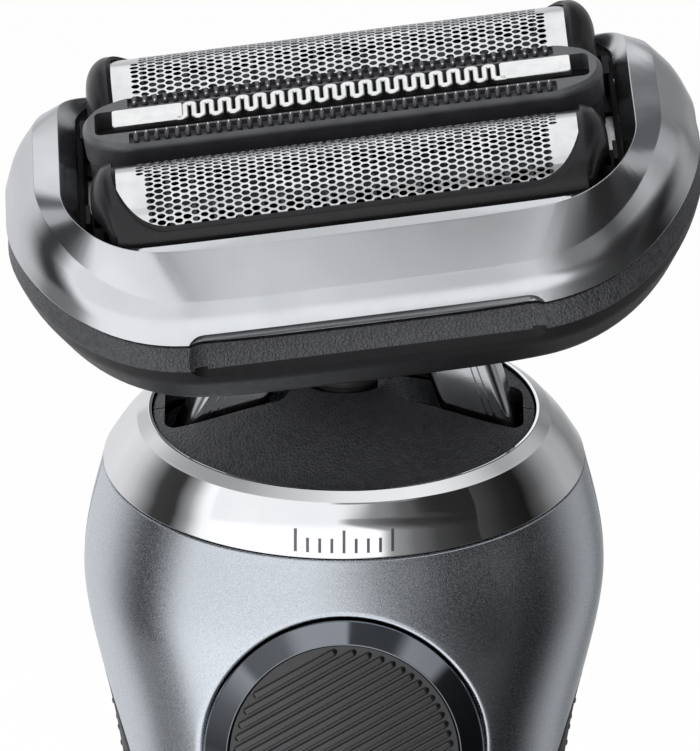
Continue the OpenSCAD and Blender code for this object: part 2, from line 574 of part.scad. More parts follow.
// one arm: a flat bar from its foot pivot up to its head pivot, bored for the level pins
module swing_arm(side) {
    foot = [side*arm_foot_x, 0, -arm_foot_drop];
    top = head_to_neck([side*arm_top_x, 0, -arm_top_drop]);
    run = top - foot;
    difference() {
        at_neck() difference() {
            hull() for (q = [foot, top]) translate(q) lying_y(arm_w/2, arm_t, $fn = 32);
            // shallow groove along the outer edge of the front and back faces
            for (f = [-1, 1]) hull() for (t = [0.18, 0.82])
                translate(foot + t*run + [side*(arm_w/2 - 1.4) - 0.15, f*arm_t/2 - 0.2, -0.1]) cube([0.3, 0.4, 0.2]);
        }
        at_foot(side) lying_y(foot_pin_r + pin_fit, 30);
        at_top(side) lying_y(top_pin_r + open_fit, 30);
    }
}
module left_swing_arm() color("lightgray") swing_arm(-1);
module right_swing_arm() color("lightgray") swing_arm(1);
// coupler of the two arms; it carries the fore-and-aft tilt pins
module roll_frame() color([0.3, 0.3, 0.32]) difference() {
    at_head() difference() {
        translate([-frame_half, -frame_d/2, -tilt_drop - tilt_pin_r - 0.8])
            cube([2*frame_half, frame_d, frame_top + tilt_drop + tilt_pin_r + 0.8]);
        translate([-frame_half + frame_wall, -arm_t/2 - arm_room, -tilt_drop - 10])
            cube([2*(frame_half - frame_wall), arm_t + 2*arm_room, 20]);
        both_sides() translate([frame_half - frame_wall/2, 0, -tilt_drop]) lying_x(tilt_pin_r, 4);
    }
    for (s = [-1, 1]) at_top(s) lying_y(top_pin_r, 30);
}
module arm_top_pins() color("lightgray") for (s = [-1, 1]) at_top(s) pivot_pin(top_pin_r, frame_d/2);
module tilt_pins() color("lightgray") at_head() both_sides()
    translate([frame_half - frame_wall, 0, -tilt_drop]) rotate([0, 90, 0])
        cylinder(r = tilt_pin_r, h = ear_in + ear_t - frame_half + frame_wall - 0.1);

// ==== head ===============================================================
// grained lower shell with the neck opening and two bearing ears
NECK_HOLE = [neck_hole_w/2, neck_hole_d/2, neck_hole_d/2, 4, 4, 4, -head_under, -head_under, 1, 0];
module head_base() color([0.16, 0.16, 0.17]) at_head() difference() {
    union() {
        ring_skin([head_ring(inset(EDGE, head_wall, -parting)), head_ring(inset(BAND, head_wall, 0)),
            head_ring(inset(KEEL, head_wall, head_wall)), head_ring(inset(NECK_HOLE, 0, head_wall)),
            head_ring(NECK_HOLE), head_ring(KEEL), head_ring(BAND), head_ring(inset(EDGE, 0, -parting))]);
        both_sides() translate([ear_in, -3, head_floor - 0.6]) cube([ear_t, 6, 5.6]);
    }
    both_sides() translate([ear_in, 0, -tilt_drop]) lying_x(tilt_pin_r + pin_fit, 8);
    finger_scoop();
    head_screw_places() translate([0, 0, head_floor - 3]) cylinder(r = 0.85, h = 8);
}
// finger scoop across the parting line at the front, cut from the shell and the shroud alike
scoop_w = 33;
scoop_r = 4.2;
scoop_depth = 0.9;
scoop_z = EDGE[7] - 1;
module finger_scoop() translate([0, -head_front - scoop_r + scoop_depth, scoop_z])
    lying_x(scoop_r, scoop_w, $fn = 72);
head_screw_x = 21.5;
head_screw_y = 8;
module head_screw_places() for (x = [-1, 1], y = [-1, 1]) translate([x*head_screw_x, y*head_screw_y, 0]) children();
// plate over the drive, with slots for the three drive pins and four screw posts
module head_deck() color([0.24, 0.24, 0.26]) at_head() difference() {
    union() {
        translate([0, (deck_back - deck_front)/2, deck_top - deck_t])
            slab(deck_w, deck_front + deck_back, deck_t, deck_corner);
        head_screw_places() translate([0, 0, post_bottom]) cylinder(r = 2, h = deck_top - post_bottom - 0.2);
    }
    for (p = [[0, -foil_y], [0, foil_y], [blade_foot_x, 0]]) translate([p[0], p[1], deck_top - deck_t - eps])
        slab(2*(stroke + drive_pin_r + 0.5), 2*drive_pin_r + 1, 2, drive_pin_r + 0.5 - eps);
    head_screw_places() translate([0, 0, post_bottom - eps]) cylinder(r = 0.85, h = 5);
}
post_bottom = -12.9;
module head_screws() color("silver") at_head() head_screw_places() translate([0, 0, post_bottom - 2])
    cylinder(r = 0.8, h = 5.4);
// stator of the linear motor: two laminated cores with three poles each
module core_places() for (s = [-1, 1]) translate([0, s*core_y, 0]) children();
core_bottom = head_floor + 1;
pole_x = 10;
module motor_cores() color([0.35, 0.35, 0.37]) at_head() core_places() {
    translate([-core_w/2, -core_d/2 + 0.8, core_bottom]) cube([core_w, core_d - 1.6, 1.6]);
    for (i = [-1:1]) translate([i*pole_x - 1.5, -1.4, core_bottom + 1.6 - eps])
        cube([3, 2.8, coil_top - core_bottom - 1.6]);
}
module motor_coils() color("peru") at_head() core_places() for (i = [-1:1])
    translate([i*pole_x, 0, core_bottom + 1.8]) difference() {
        slab(7.6, core_d, coil_top - core_bottom - 2.4, 1.4);
        translate([-1.6, -1.5, -1]) cube([3.2, 3, 20]);
    }
// spring leaves at both ends of the deck that hold the cassette
module cassette_catches() color("silver") at_head() both_sides() translate([catch_x, -3, deck_top]) {
    cube([0.5, 6, 1.5]);
    translate([-2.6, 0, 0]) cube([3.1, 6, 0.3]);
}
catch_x = MOUTH[0] + 0.5;
// oscillating carriage: a frame around the suspension
module drive_carriage() color([0.8, 0.8, 0.78]) at_head() translate([0, 0, carriage_top - carriage_t]) difference() {
    slab(carriage_w, carriage_d, carriage_t, 3);
    translate([-frame_half - stroke - fit, -6.8, -1]) cube([2*(frame_half + stroke + fit), 13.6, 4]);
    for (p = drive_pin_spots) translate([p[0], p[1], -1]) cylinder(r = drive_pin_r, h = 4);
    head_screw_places() translate([-stroke - 2 - fit, -2.3, -1]) cube([2*(stroke + 2 + fit), 4.6, 4]);
}
drive_pin_spots = [[0, -foil_y], [0, foil_y], [blade_foot_x, 0]];
module drive_pins() color("lightgray") at_head() for (p = drive_pin_spots)
    translate([p[0], p[1], carriage_top - carriage_t]) cylinder(r = drive_pin_r, h = drive_pin_top - carriage_top + carriage_t);
module drive_magnets() color([0.5, 0.5, 0.52]) at_head() core_places() for (x = [-5, 5])
    translate([x - 4.2, -2.6, carriage_top - carriage_t - magnet_t]) cube([8.4, 5.2, magnet_t]);

// ==== cassette ===========================================================
// satin metal ring with the upper part of the finger scoop in its front edge
module shroud_ring() color("silver") at_head() difference() {
    ring_skin([head_ring(EDGE), head_ring(CROWN), head_ring(CREASE), head_ring(INNER), head_ring(MOUTH),
        head_ring(inset(MOUTH, 0, -mouth_lip)), head_ring(UNDER),
        head_ring(inset(EDGE, shroud_wall, 0))]);
    finger_scoop();
}
// black inner frame that guides the foils and the trimmer
module cassette_frame() color([0.09, 0.09, 0.09]) at_head() {
    translate([0, 0, flange_bottom]) difference() {
        linear_extrude(flange_t) polygon(outline(inset(MOUTH, frame_fit, 0)));
        translate([0, (inner_back - inner_front)/2, -eps])
            slab(frame_l - 4.6, inner_front + inner_back - 1.6, flange_t + 1, 2);
        both_sides() translate([catch_x - 2.75, -3.2, -1]) cube([3.4, 6.4, 4]);
    }
    for (s = [-1, 1], y = [-1, 1]) translate([s*(inner_half - 0.3) - 0.3, y*(foil_y - 1.8) - 1.5, flange_bottom])
        cube([0.6, 3, MOUTH[6] - 0.9 - flange_bottom]);
}
frame_fit = 0.3;                 // gap between the mouth of the shroud and what stands in it
inner_half = MOUTH[0] - frame_fit;
inner_front = MOUTH[1] - frame_fit;
inner_back = MOUTH[2] - frame_fit;
// small springs under both ends of each foil frame and of the trimmer
spring_x = frame_l/2 - 1.5;
module float_springs(y) color("silver") at_head() for (s = [-1, 1])
    translate([s*spring_x, y, flange_bottom + flange_t + 0.02])
        tube_of(0.8, 0.3, foil_bottom - flange_bottom - flange_t - 0.04);
module front_springs() float_springs(-foil_y);
module rear_springs() float_springs(foil_y);
module trimmer_springs() float_springs(0);

// black frame of one foil: two rails and two domed end caps
rail_t = 0.4;
module foil_frame(y) at_head() intersection() {
    translate([0, y, 0]) foil_rails(y < 0 ? -1 : 1);
    translate([0, 0, foil_bottom]) linear_extrude(10) polygon(outline(inset(MOUTH, frame_fit + 0.1, 0)));
}
module foil_rails(side) {
    outer = foil_r + 0.05 + rail_t;
    both_sides() intersection() {
        translate([foil_l/2, 0, foil_z]) rotate([0, 90, 0]) rotate_extrude()
            polygon([[0, 0], [outer, 0], [outer, 1.2], [outer - 0.35, 1.9], [outer - 1, frame_l/2 - foil_l/2],
                [0, frame_l/2 - foil_l/2]]);
        translate([0, -10, foil_bottom]) cube([40, 20, 20]);
    }
    // plates that tie the rails together, beyond the reach of the cutter
    both_sides() translate([foil_l/2 - 1, -outer, foil_bottom]) cube([1 + eps, 2*outer, 0.4]);
    // outer rail up to the visible edge of the sheet, and a low inner rail
    translate([-foil_l/2 - eps, side > 0 ? outer - rail_t : -outer, foil_bottom])
        cube([foil_l + 2*eps, rail_t, frame_edge - foil_bottom]);
    translate([-foil_l/2 - eps, side > 0 ? -outer : outer - rail_t, foil_bottom])
        cube([foil_l + 2*eps, rail_t, 1.8]);
}
module front_foil_frame() color([0.07, 0.07, 0.07]) foil_frame(-foil_y);
module rear_foil_frame() color([0.07, 0.07, 0.07]) foil_frame(foil_y);
// arched foil sheet
module foil_sheet(y) at_head() translate([0, y, foil_z]) intersection() {
    difference() {
        lying_x(foil_r, foil_l - 0.1, $fn = 96);
        lying_x(foil_r - foil_t, foil_l + 1, $fn = 96);
    }
    translate([-30, -10, foil_bottom - foil_z + 0.5]) cube([60, 20, 20]);
}
module front_foil() color("gainsboro") foil_sheet(-foil_y);
module rear_foil() color("gainsboro") foil_sheet(foil_y);
// cutter block: a row of half discs on a bar, with a pocket for its drive pin
blade_pitch = 2;
blade_n = floor((cutter_l/2 + 0.25)/blade_pitch);
module cutter(y) at_head() translate([0, y, 0]) difference() {
    union() {
        translate([-cutter_l/2, -2.4, cutter_bottom]) cube([cutter_l, 4.8, 3]);
        intersection() {
            for (i = [-blade_n:blade_n]) translate([i*blade_pitch, 0, foil_z]) lying_x(cutter_r, 0.5);
            translate([-30, -10, cutter_bottom]) cube([60, 20, 20]);
        }
    }
    translate([0, 0, cutter_bottom - 1]) cylinder(r = drive_pin_r + 0.2, h = drive_pin_top + float_travel - cutter_bottom + 1.5);
}
module front_cutter() color("gray") cutter(-foil_y);
module rear_cutter() color("gray") cutter(foil_y);

// trimmer body: boat-shaped bar with a channel for the blade
tw = trimmer_w/2;
module trimmer_body() color([0.07, 0.07, 0.07]) at_head() difference() {
    intersection() {
        translate([-trimmer_l/2, 0, 0]) rotate([90, 0, 90]) linear_extrude(trimmer_l)
            polygon([[-2.4, foil_bottom], [2.4, foil_bottom], [2.4, -1.1], [3.3, -1], [tw, trimmer_top - 0.5],
                [tw - 0.4, trimmer_top], [0.4 - tw, trimmer_top], [-tw, trimmer_top - 0.5], [-3.3, -1], [-2.4, -1.1]]);
        translate([0, 0, -10]) linear_extrude(20) polygon([[-trimmer_l/2, -1], [-trimmer_l/2 + 0.9, -2.6],
            [-trimmer_l/2 + 3.4, -tw - 1], [trimmer_l/2 - 3.4, -tw - 1], [trimmer_l/2 - 0.9, -2.6], [trimmer_l/2, -1],
            [trimmer_l/2, 1], [trimmer_l/2 - 0.9, 2.6], [trimmer_l/2 - 3.4, tw + 1], [-trimmer_l/2 + 3.4, tw + 1],
            [-trimmer_l/2 + 0.9, 2.6], [-trimmer_l/2, 1]]);
    }
    translate([-channel_l/2, -channel_w/2, channel_z]) cube([channel_l, channel_w, 10]);
    translate([blade_foot_x - 2 - stroke - fit, -1.5, -10]) cube([4 + 2*(stroke + fit), 3, 20]);
    for (s = [-1, 1]) translate([-comb_l/2 - 0.2, s*comb_y - comb_d/2 - 0.1, trimmer_top - 0.5]) cube([comb_l + 0.4, comb_d + 0.2, 2]);
}
channel_l = trimmer_l - 2.4;
comb_y = 3;
comb_d = 1.5;
comb_l = comb_n*comb_pitch;
// two rows of comb teeth beside the blade
module trimmer_comb() color([0.25, 0.25, 0.26]) at_head() for (s = [-1, 1]) {
    translate([-comb_l/2, s*comb_y - comb_d/2, trimmer_top - 0.45]) cube([comb_l, comb_d, 0.35]);
    for (i = [0:comb_n - 1]) translate([-comb_l/2 + (i + 0.25)*comb_pitch, s*comb_y - comb_d/2, trimmer_top - 0.15])
        cube([comb_pitch/2, comb_d, 0.4]);
}
// blade: flat end tabs joined by a winding strip, on a foot that the drive pin moves
blade_tab_out = channel_l/2 - stroke - 0.4;
blade_tab_in = blade_tab_out - 6.4;
blade_w = 2.7;
blade_t = 0.5;
wave_n = 18;
module trimmer_blade() color("gainsboro") at_head() {
    translate([0, 0, trimmer_top - 0.1]) {
        both_sides() translate([blade_tab_in, -blade_w/2, 0]) cube([blade_tab_out - blade_tab_in, blade_w, blade_t]);
        linear_extrude(blade_t) for (i = [0:wave_n - 1]) translate([-blade_tab_in + wave_p*(i + 0.5), 0]) wave_link(i);
    }
    difference() {
        translate([blade_foot_x - 2, -1.2, cutter_bottom]) cube([4, 2.4, trimmer_top - 0.1 - cutter_bottom + eps]);
        translate([blade_foot_x, 0, cutter_bottom - 1])
            cylinder(r = drive_pin_r + 0.1, h = drive_pin_top + float_travel - cutter_bottom + 1.5);
    }
}
wave_p = 2*blade_tab_in/wave_n;
bar_w = 0.5;
// one turn of the strip: up on its left, across the top, down in its middle, across the bottom
module wave_link(i) {
    translate([-wave_p/2 - eps, -blade_w/2]) square([bar_w + eps, blade_w]);
    translate([-wave_p/2, blade_w/2 - bar_w]) square([wave_p/2 + bar_w/2, bar_w]);
    translate([-bar_w/2, -blade_w/2]) square([bar_w, blade_w]);
    translate([-bar_w/2, -blade_w/2]) square([wave_p/2 + bar_w/2 + bar_w + eps, bar_w]);
}

front_shell();
rear_cover();
left_side_grip();
right_side_grip();
base_cap();
collar_ring();
neck_dome_front();
neck_dome_rear();
neck_boot();
neck_gasket();
button_bezel();
button_seal();
chassis();
battery_cell();
battery_contacts();
circuit_board();
board_parts();
tactile_switch();
charge_inlet();
charge_pins();
charge_light_lens();
arm_bracket();
arm_hinge_pins();
neck_screws();
base_screws();
power_button();
left_swing_arm();
right_swing_arm();
roll_frame();
arm_top_pins();
tilt_pins();
head_base();
head_deck();
motor_cores();
motor_coils();
head_screws();
cassette_catches();
drive_carriage();
drive_magnets();
drive_pins();
shroud_ring();
cassette_frame();
front_springs();
rear_springs();
trimmer_springs();
front_foil_frame();
front_foil();
rear_foil_frame();
rear_foil();
trimmer_body();
trimmer_comb();
trimmer_blade();
front_cutter();
rear_cutter();
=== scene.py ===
import json
import math
import random

import bmesh
import bpy
import numpy as np
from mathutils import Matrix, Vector
from mathutils.geometry import delaunay_2d_cdt


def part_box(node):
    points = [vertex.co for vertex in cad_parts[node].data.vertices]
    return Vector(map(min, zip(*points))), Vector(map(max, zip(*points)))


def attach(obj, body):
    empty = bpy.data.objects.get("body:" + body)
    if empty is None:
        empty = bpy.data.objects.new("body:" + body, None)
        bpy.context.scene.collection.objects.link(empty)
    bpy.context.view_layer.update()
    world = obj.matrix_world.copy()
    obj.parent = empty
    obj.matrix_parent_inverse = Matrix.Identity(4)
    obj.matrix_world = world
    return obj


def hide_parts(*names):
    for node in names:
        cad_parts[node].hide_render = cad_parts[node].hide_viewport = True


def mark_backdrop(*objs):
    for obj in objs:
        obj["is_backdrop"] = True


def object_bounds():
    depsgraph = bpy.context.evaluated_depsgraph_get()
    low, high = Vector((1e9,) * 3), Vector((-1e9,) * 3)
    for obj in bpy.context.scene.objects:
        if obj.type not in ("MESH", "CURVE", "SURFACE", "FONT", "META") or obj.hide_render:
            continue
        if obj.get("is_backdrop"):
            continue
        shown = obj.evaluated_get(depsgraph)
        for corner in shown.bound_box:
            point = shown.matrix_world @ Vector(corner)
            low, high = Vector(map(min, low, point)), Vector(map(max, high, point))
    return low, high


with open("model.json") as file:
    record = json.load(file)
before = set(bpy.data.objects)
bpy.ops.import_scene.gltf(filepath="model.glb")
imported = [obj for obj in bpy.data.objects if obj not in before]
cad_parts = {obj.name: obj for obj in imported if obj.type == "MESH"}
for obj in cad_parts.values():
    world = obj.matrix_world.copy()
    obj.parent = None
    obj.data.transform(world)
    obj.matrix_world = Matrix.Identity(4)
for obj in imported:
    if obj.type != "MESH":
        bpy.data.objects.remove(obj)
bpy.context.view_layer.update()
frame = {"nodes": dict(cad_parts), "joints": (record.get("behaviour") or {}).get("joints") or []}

# ---- Stand, camera and lamps ---------------------------------------------
# The shaver stands on its flat foot on a pale table, under two large soft lamps and a
# plain sky. The long lens looks at the neck, a little from above.
joints = {j["name"]: j for j in frame["joints"]}


def unit(v):
    v = np.asarray(v, float)
    return v / np.linalg.norm(v)


roll_centre = np.array(joints["head_roll"]["pos_m"]) * 1000
arm_feet = [np.array(joints[n]["pos_m"]) * 1000 for n in ("left_arm_swing", "right_arm_swing")]
ARM_FOOT_DROP = 4.0
neck_axes = np.zeros((3, 3))
neck_axes[0] = (1, 0, 0)
neck_axes[2] = unit(roll_centre - sum(arm_feet) / 2)
neck_axes[1] = np.cross(neck_axes[2], neck_axes[0])
neck_centre = sum(arm_feet) / 2 + ARM_FOOT_DROP * neck_axes[2]
VIEW_RISE = math.radians(13)
VIEW_DISTANCE = 0.9
FIELD = 68.9                          # height of the field of view at the neck, in mm
AIM_SIDE, AIM_UP = 0.55, 7.3          # the lens aims this far beside and above the neck

camera = bpy.data.objects.new("camera", bpy.data.cameras.new("camera"))
bpy.context.scene.collection.objects.link(camera)
bpy.context.scene.camera = camera
bpy.context.scene.view_settings.view_transform = "Standard"
towards_camera = Vector((0, -math.cos(VIEW_RISE), math.sin(VIEW_RISE)))
camera.location = Vector(neck_centre / 1000) + VIEW_DISTANCE * towards_camera
upwards = Vector((0, math.sin(VIEW_RISE), math.cos(VIEW_RISE)))
aim = Vector(neck_centre / 1000) + Vector((AIM_SIDE / 1000, 0, 0)) + AIM_UP / 1000 * upwards
camera.rotation_euler = (camera.location - aim).to_track_quat("Z", "Y").to_euler()
camera.data.sensor_width = 36
camera.data.lens = camera.data.sensor_width * VIEW_DISTANCE * 1000 / FIELD
camera.data.clip_end = 20


def lamp(name, azimuth, rise, distance, width, height, power, tint=(1, 1, 1)):
    light = bpy.data.lights.new(name, "AREA")
    light.shape = "RECTANGLE"
    light.size, light.size_y = width, height
    light.energy = power
    light.color = tint
    o = bpy.data.objects.new(name, light)
    a, e = math.radians(azimuth), math.radians(rise)
    back = Vector((math.sin(a) * math.cos(e), -math.cos(a) * math.cos(e), math.sin(e)))
    o.location = Vector(neck_centre / 1000) + distance * back
    o.rotation_euler = back.to_track_quat("Z", "Y").to_euler()
    o.visible_glossy = False
    bpy.context.scene.collection.objects.link(o)


lamp("lamp_left", -66, 26, 1.1, 0.7, 0.9, 12)
lamp("lamp_top", 12, 74, 1.0, 0.9, 0.5, 3)
lamp("lamp_right", 128, 30, 1.2, 0.35, 0.9, 2)

world = bpy.data.worlds.new("room")
bpy.context.scene.world = world
world.use_nodes = True
tree = world.node_tree
tree.nodes.clear()


def add(tree, kind, inputs=(), **settings):
    """A node of a kind, with its settings and the values or links of its inputs."""
    n = tree.nodes.new(kind)
    for k, v in settings.items():
        setattr(n, k, v)
    for k, v in dict(inputs).items():
        if isinstance(v, bpy.types.NodeSocket):
            tree.links.new(v, n.inputs[k])
        else:
            n.inputs[k].default_value = v
    return n


def sums(kind, *values):
    return add(tree, "ShaderNodeMath", dict(enumerate(values)), operation=kind).outputs[0]


def between(value, low, high, first=0.0, last=1.0):
    """Runs smoothly from first to last as the value goes from low to high."""
    return add(tree, "ShaderNodeMapRange", {"Value": value, "From Min": low, "From Max": high, "To Min": first,
                                            "To Max": last}, interpolation_type="SMOOTHSTEP").outputs[0]


def mix(factor, first, second, blend="MIX"):
    return add(tree, "ShaderNodeMix", {"Factor": factor, 6: first, 7: second}, data_type="RGBA",
               blend_type=blend).outputs[2]


def ramp(value, low, high, shades):
    """Greys, a little blue, at places along a value that runs from low to high."""
    r = add(tree, "ShaderNodeValToRGB", {"Fac": sums("DIVIDE", sums("SUBTRACT", value, low), high - low)})
    stops = r.color_ramp.elements
    while len(stops) < len(shades):
        stops.new(0.5)
    for stop, (place, grey) in zip(stops, shades):
        stop.position = (place - low) / (high - low)
        stop.color = (grey, grey * 1.01, grey * 1.03, 1)
    return r.outputs[0]


def card(name, corners, surface):
    """A flat sheet with an empty node material: the object and its node tree."""
    mesh = bpy.data.meshes.new(name)
    mesh.from_pydata(corners, [], [(0, 1, 2, 3)])
    o = bpy.data.objects.new(name, mesh)
    bpy.context.scene.collection.objects.link(o)
    m = bpy.data.materials.new(surface)
    m.use_nodes = True
    m.node_tree.nodes.clear()
    mesh.materials.append(m)
    return o, m.node_tree


# the room as polished metal sees it, by degrees round to the right from in front: a wide
# white wall to the left, dark flags at both sides, paler walls behind, a low band of dark
# skirting, a shaded cornice and a ceiling that is white along its middle
WALLS = [(-180, 0.6), (-152, 0.66), (-128, 0.7), (-110, 0.64), (-100, 0.5), (-88, 0.19), (-81, 0.04), (-69, 0.03),
         (-61, 0.3), (-54, 0.95), (-48, 1.0), (8, 1.0), (16, 0.55), (23, 0.27), (35, 0.14), (50, 0.05), (64, 0.016),
         (76, 0.008), (86, 0.08), (98, 0.25), (111, 0.38), (125, 0.36), (139, 0.2), (155, 0.28), (180, 0.6)]
CORNICE = [(-180, 0.5), (-127, 0.52), (-110, 0.65), (-91, 0.48), (-73, 0.37), (-56, 0.32), (-41, 0.34), (-26, 0.49),
           (-13, 0.6), (0, 0.77), (27, 0.79), (41, 0.72), (57, 0.58), (74, 0.38), (92, 0.45), (110, 0.4), (128, 0.21),
           (180, 0.4)]
ROOM_LIGHT = 1.2
direction = add(tree, "ShaderNodeSeparateXYZ", {0: add(tree, "ShaderNodeTexCoord").outputs["Generated"]}).outputs
around = sums("DEGREES", sums("ARCTAN2", direction[0], sums("MULTIPLY", direction[1], -1.0)))
above = sums("DEGREES", sums("ARCSINE", direction[2]))
white = sums("MULTIPLY", between(direction[0], -0.6, -0.3), between(direction[0], 0.01, 0.06, 1, 0))
ceiling = mix(white, (0.12, 0.125, 0.135, 1), (0.88, 0.89, 0.91, 1))
skirting = sums("MULTIPLY", between(above, -14, -5, 0.2, 0), between(direction[0], -0.3, -0.1, 1, 0))
room = mix(between(above, 20, 42), mix(1.0, ramp(around, -180, 180, WALLS), skirting, "LIGHTEN"), ceiling)
room = mix(sums("MULTIPLY", between(above, 22, 27), between(above, 38, 44, 1, 0)), room,
           ramp(around, -180, 180, CORNICE))
lit = add(tree, "ShaderNodeVectorMath", {0: room, "Scale": ROOM_LIGHT}, operation="SCALE").outputs[0]
path = add(tree, "ShaderNodeLightPath")
seen = mix(path.outputs["Is Glossy Ray"], (0.45, 0.455, 0.47, 1), lit)
backdrop = mix(path.outputs["Is Camera Ray"], seen, (1, 1, 1, 1))
light = add(tree, "ShaderNodeBackground", {"Color": backdrop, "Strength": 1.0})
add(tree, "ShaderNodeOutputWorld", {"Surface": light.outputs[0]})

HALF_TABLE = 4.0
TABLE_Z = -0.0002                     # just under the foot
table, tree = card("table", [(x * HALF_TABLE, y * HALF_TABLE, TABLE_Z) for x, y in ((-1, -1), (1, -1), (1, 1), (-1, 1))],
                   "table_paper")
table.visible_glossy = False
rays = sums("MULTIPLY", add(tree, "ShaderNodeLightPath").outputs["Is Camera Ray"], 0.96)
matt = add(tree, "ShaderNodeBsdfDiffuse", {"Color": (0.9, 0.9, 0.9, 1)})
glow = add(tree, "ShaderNodeEmission", {"Color": (1, 1, 1, 1), "Strength": 1.0})
both = add(tree, "ShaderNodeMixShader", {0: rays, 1: matt.outputs[0], 2: glow.outputs[0]})
add(tree, "ShaderNodeOutputMaterial", {"Surface": both.outputs[0]})

# upright diffusing screen in front, white on the left and shaded towards the right, with
# an edge that stands farther left or right from height to height
SCREEN_Y = -0.25
SCREEN = [(-0.3, -0.03), (0.3, -0.03), (0.3, 0.26), (-0.3, 0.26)]
SCREEN_SHADES = [(-0.3, 1.0), (-0.013, 1.0), (-0.006, 0.78), (0, 0.52), (0.005, 0.36), (0.01, 0.28), (0.03, 0.22),
                 (0.05, 0.13), (0.1, 0.05), (0.18, 0.025), (0.3, 0.02)]
screen, tree = card("screen", [(x, SCREEN_Y, z) for x, z in SCREEN], "screen_cloth")
screen.visible_camera = screen.visible_diffuse = screen.visible_shadow = False
spot = add(tree, "ShaderNodeSeparateXYZ", {0: add(tree, "ShaderNodeTexCoord").outputs["Object"]}).outputs
edge = sums("ADD", between(spot[2], 0.112, 0.142, 0.066, 0.001), between(spot[2], 0.05, 0.085, -0.05, 0))
edge = sums("ADD", edge, sums("ADD", between(spot[2], 0.149, 0.157, 0, 0.04),
                              between(spot[2], 0.165, 0.173, 0, -0.053)))
rest = sums("ADD", sums("MULTIPLY", between(spot[2], 0.165, 0.173, 0, 0.26), between(spot[0], 0.1, 0.15, 1, 0)),
            between(spot[2], 0.06, 0.08, 0.06, 0))
shade = mix(1.0, ramp(sums("SUBTRACT", spot[0], edge), -0.3, 0.3, SCREEN_SHADES), rest, "LIGHTEN")
shade = add(tree, "ShaderNodeVectorMath", {0: shade, "Scale": between(spot[2], 0.118, 0.142, 1, 0.86)},
            operation="SCALE")
glow = add(tree, "ShaderNodeEmission", {"Color": shade.outputs[0], "Strength": ROOM_LIGHT})
add(tree, "ShaderNodeOutputMaterial", {"Surface": glow.outputs[0]})
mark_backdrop(table, screen)

# ---- Chassis, cell and circuit board --------------------------------------
# The pale moulded chassis carries the cell with its spring tabs, the board with its
# parts and switch, the charging inlet with two gold pins, and the screws of both ends.


def group(name, inputs, outputs=(("Height", "Float"),)):
    """A node group, its input and output sockets, and the place that is shaded."""
    g = bpy.data.node_groups.new(name, "ShaderNodeTree")
    for side, sockets in (("INPUT", inputs), ("OUTPUT", outputs)):
        for label, kind, *value in sockets:
            s = g.interface.new_socket(label, in_out=side, socket_type="NodeSocket" + kind)
            if value:
                s.default_value = value[0]
    return (g, add(g, "NodeGroupInput").outputs, add(g, "NodeGroupOutput").inputs,
            add(g, "ShaderNodeTexCoord").outputs["Object"])


# colour that wanders softly between two tones
tone, got, put, where = group("tone", [("Colour", "Color"), ("Second", "Color"), ("Scale", "Float", 300.0)],
                              [("Colour", "Color"), ("Mask", "Float")])
cloud = add(tone, "ShaderNodeTexNoise", {"Vector": where, "Scale": got["Scale"], "Detail": 3.0})
shift = add(tone, "ShaderNodeMapRange", {"Value": cloud.outputs[0], "From Min": 0.35, "From Max": 0.65})
mixed = add(tone, "ShaderNodeMix", {"Factor": shift.outputs[0], 6: got["Colour"], 7: got["Second"]}, data_type="RGBA")
tone.links.new(mixed.outputs[2], put["Colour"])
tone.links.new(shift.outputs[0], put["Mask"])

# leather-like moulded grain: low pads between wandering wrinkles
leather, got, put, where = group("leather", [("Scale", "Float", 3000.0)])
bend = add(leather, "ShaderNodeTexNoise", {"Vector": where, "Scale": got["Scale"], "Detail": 2.0})
bent = add(leather, "ShaderNodeMix", {"Factor": 0.0004, 4: where, 5: bend.outputs["Color"]}, data_type="VECTOR")
pads = add(leather, "ShaderNodeTexVoronoi", {"Vector": bent.outputs[1], "Scale": got["Scale"], "Randomness": 1.0},
           feature="DISTANCE_TO_EDGE")
low = add(leather, "ShaderNodeMapRange", {"Value": pads.outputs[0], "From Max": 0.25}, interpolation_type="SMOOTHSTEP")
leather.links.new(low.outputs[0], put["Height"])

# fine lines drawn along one direction, as grinding or brushing leaves
brushed, got, put, where = group("brushed", [("Scale", "Float", 4000.0), ("Stretch", "Vector", (0.05, 1.0, 1.0))])
drawn = add(brushed, "ShaderNodeVectorMath", {0: where, 1: got["Stretch"]}, operation="MULTIPLY")
lines = add(brushed, "ShaderNodeTexNoise", {"Vector": drawn.outputs[0], "Scale": got["Scale"], "Detail": 3.0})
brushed.links.new(lines.outputs[0], put["Height"])

# fine spark-eroded texture of a mould, or the orange peel of a coat of paint
moulded, got, put, where = group("moulded", [("Scale", "Float", 6000.0)])
pits = add(moulded, "ShaderNodeTexNoise", {"Vector": where, "Scale": got["Scale"], "Detail": 2.0})
moulded.links.new(pits.outputs[0], put["Height"])


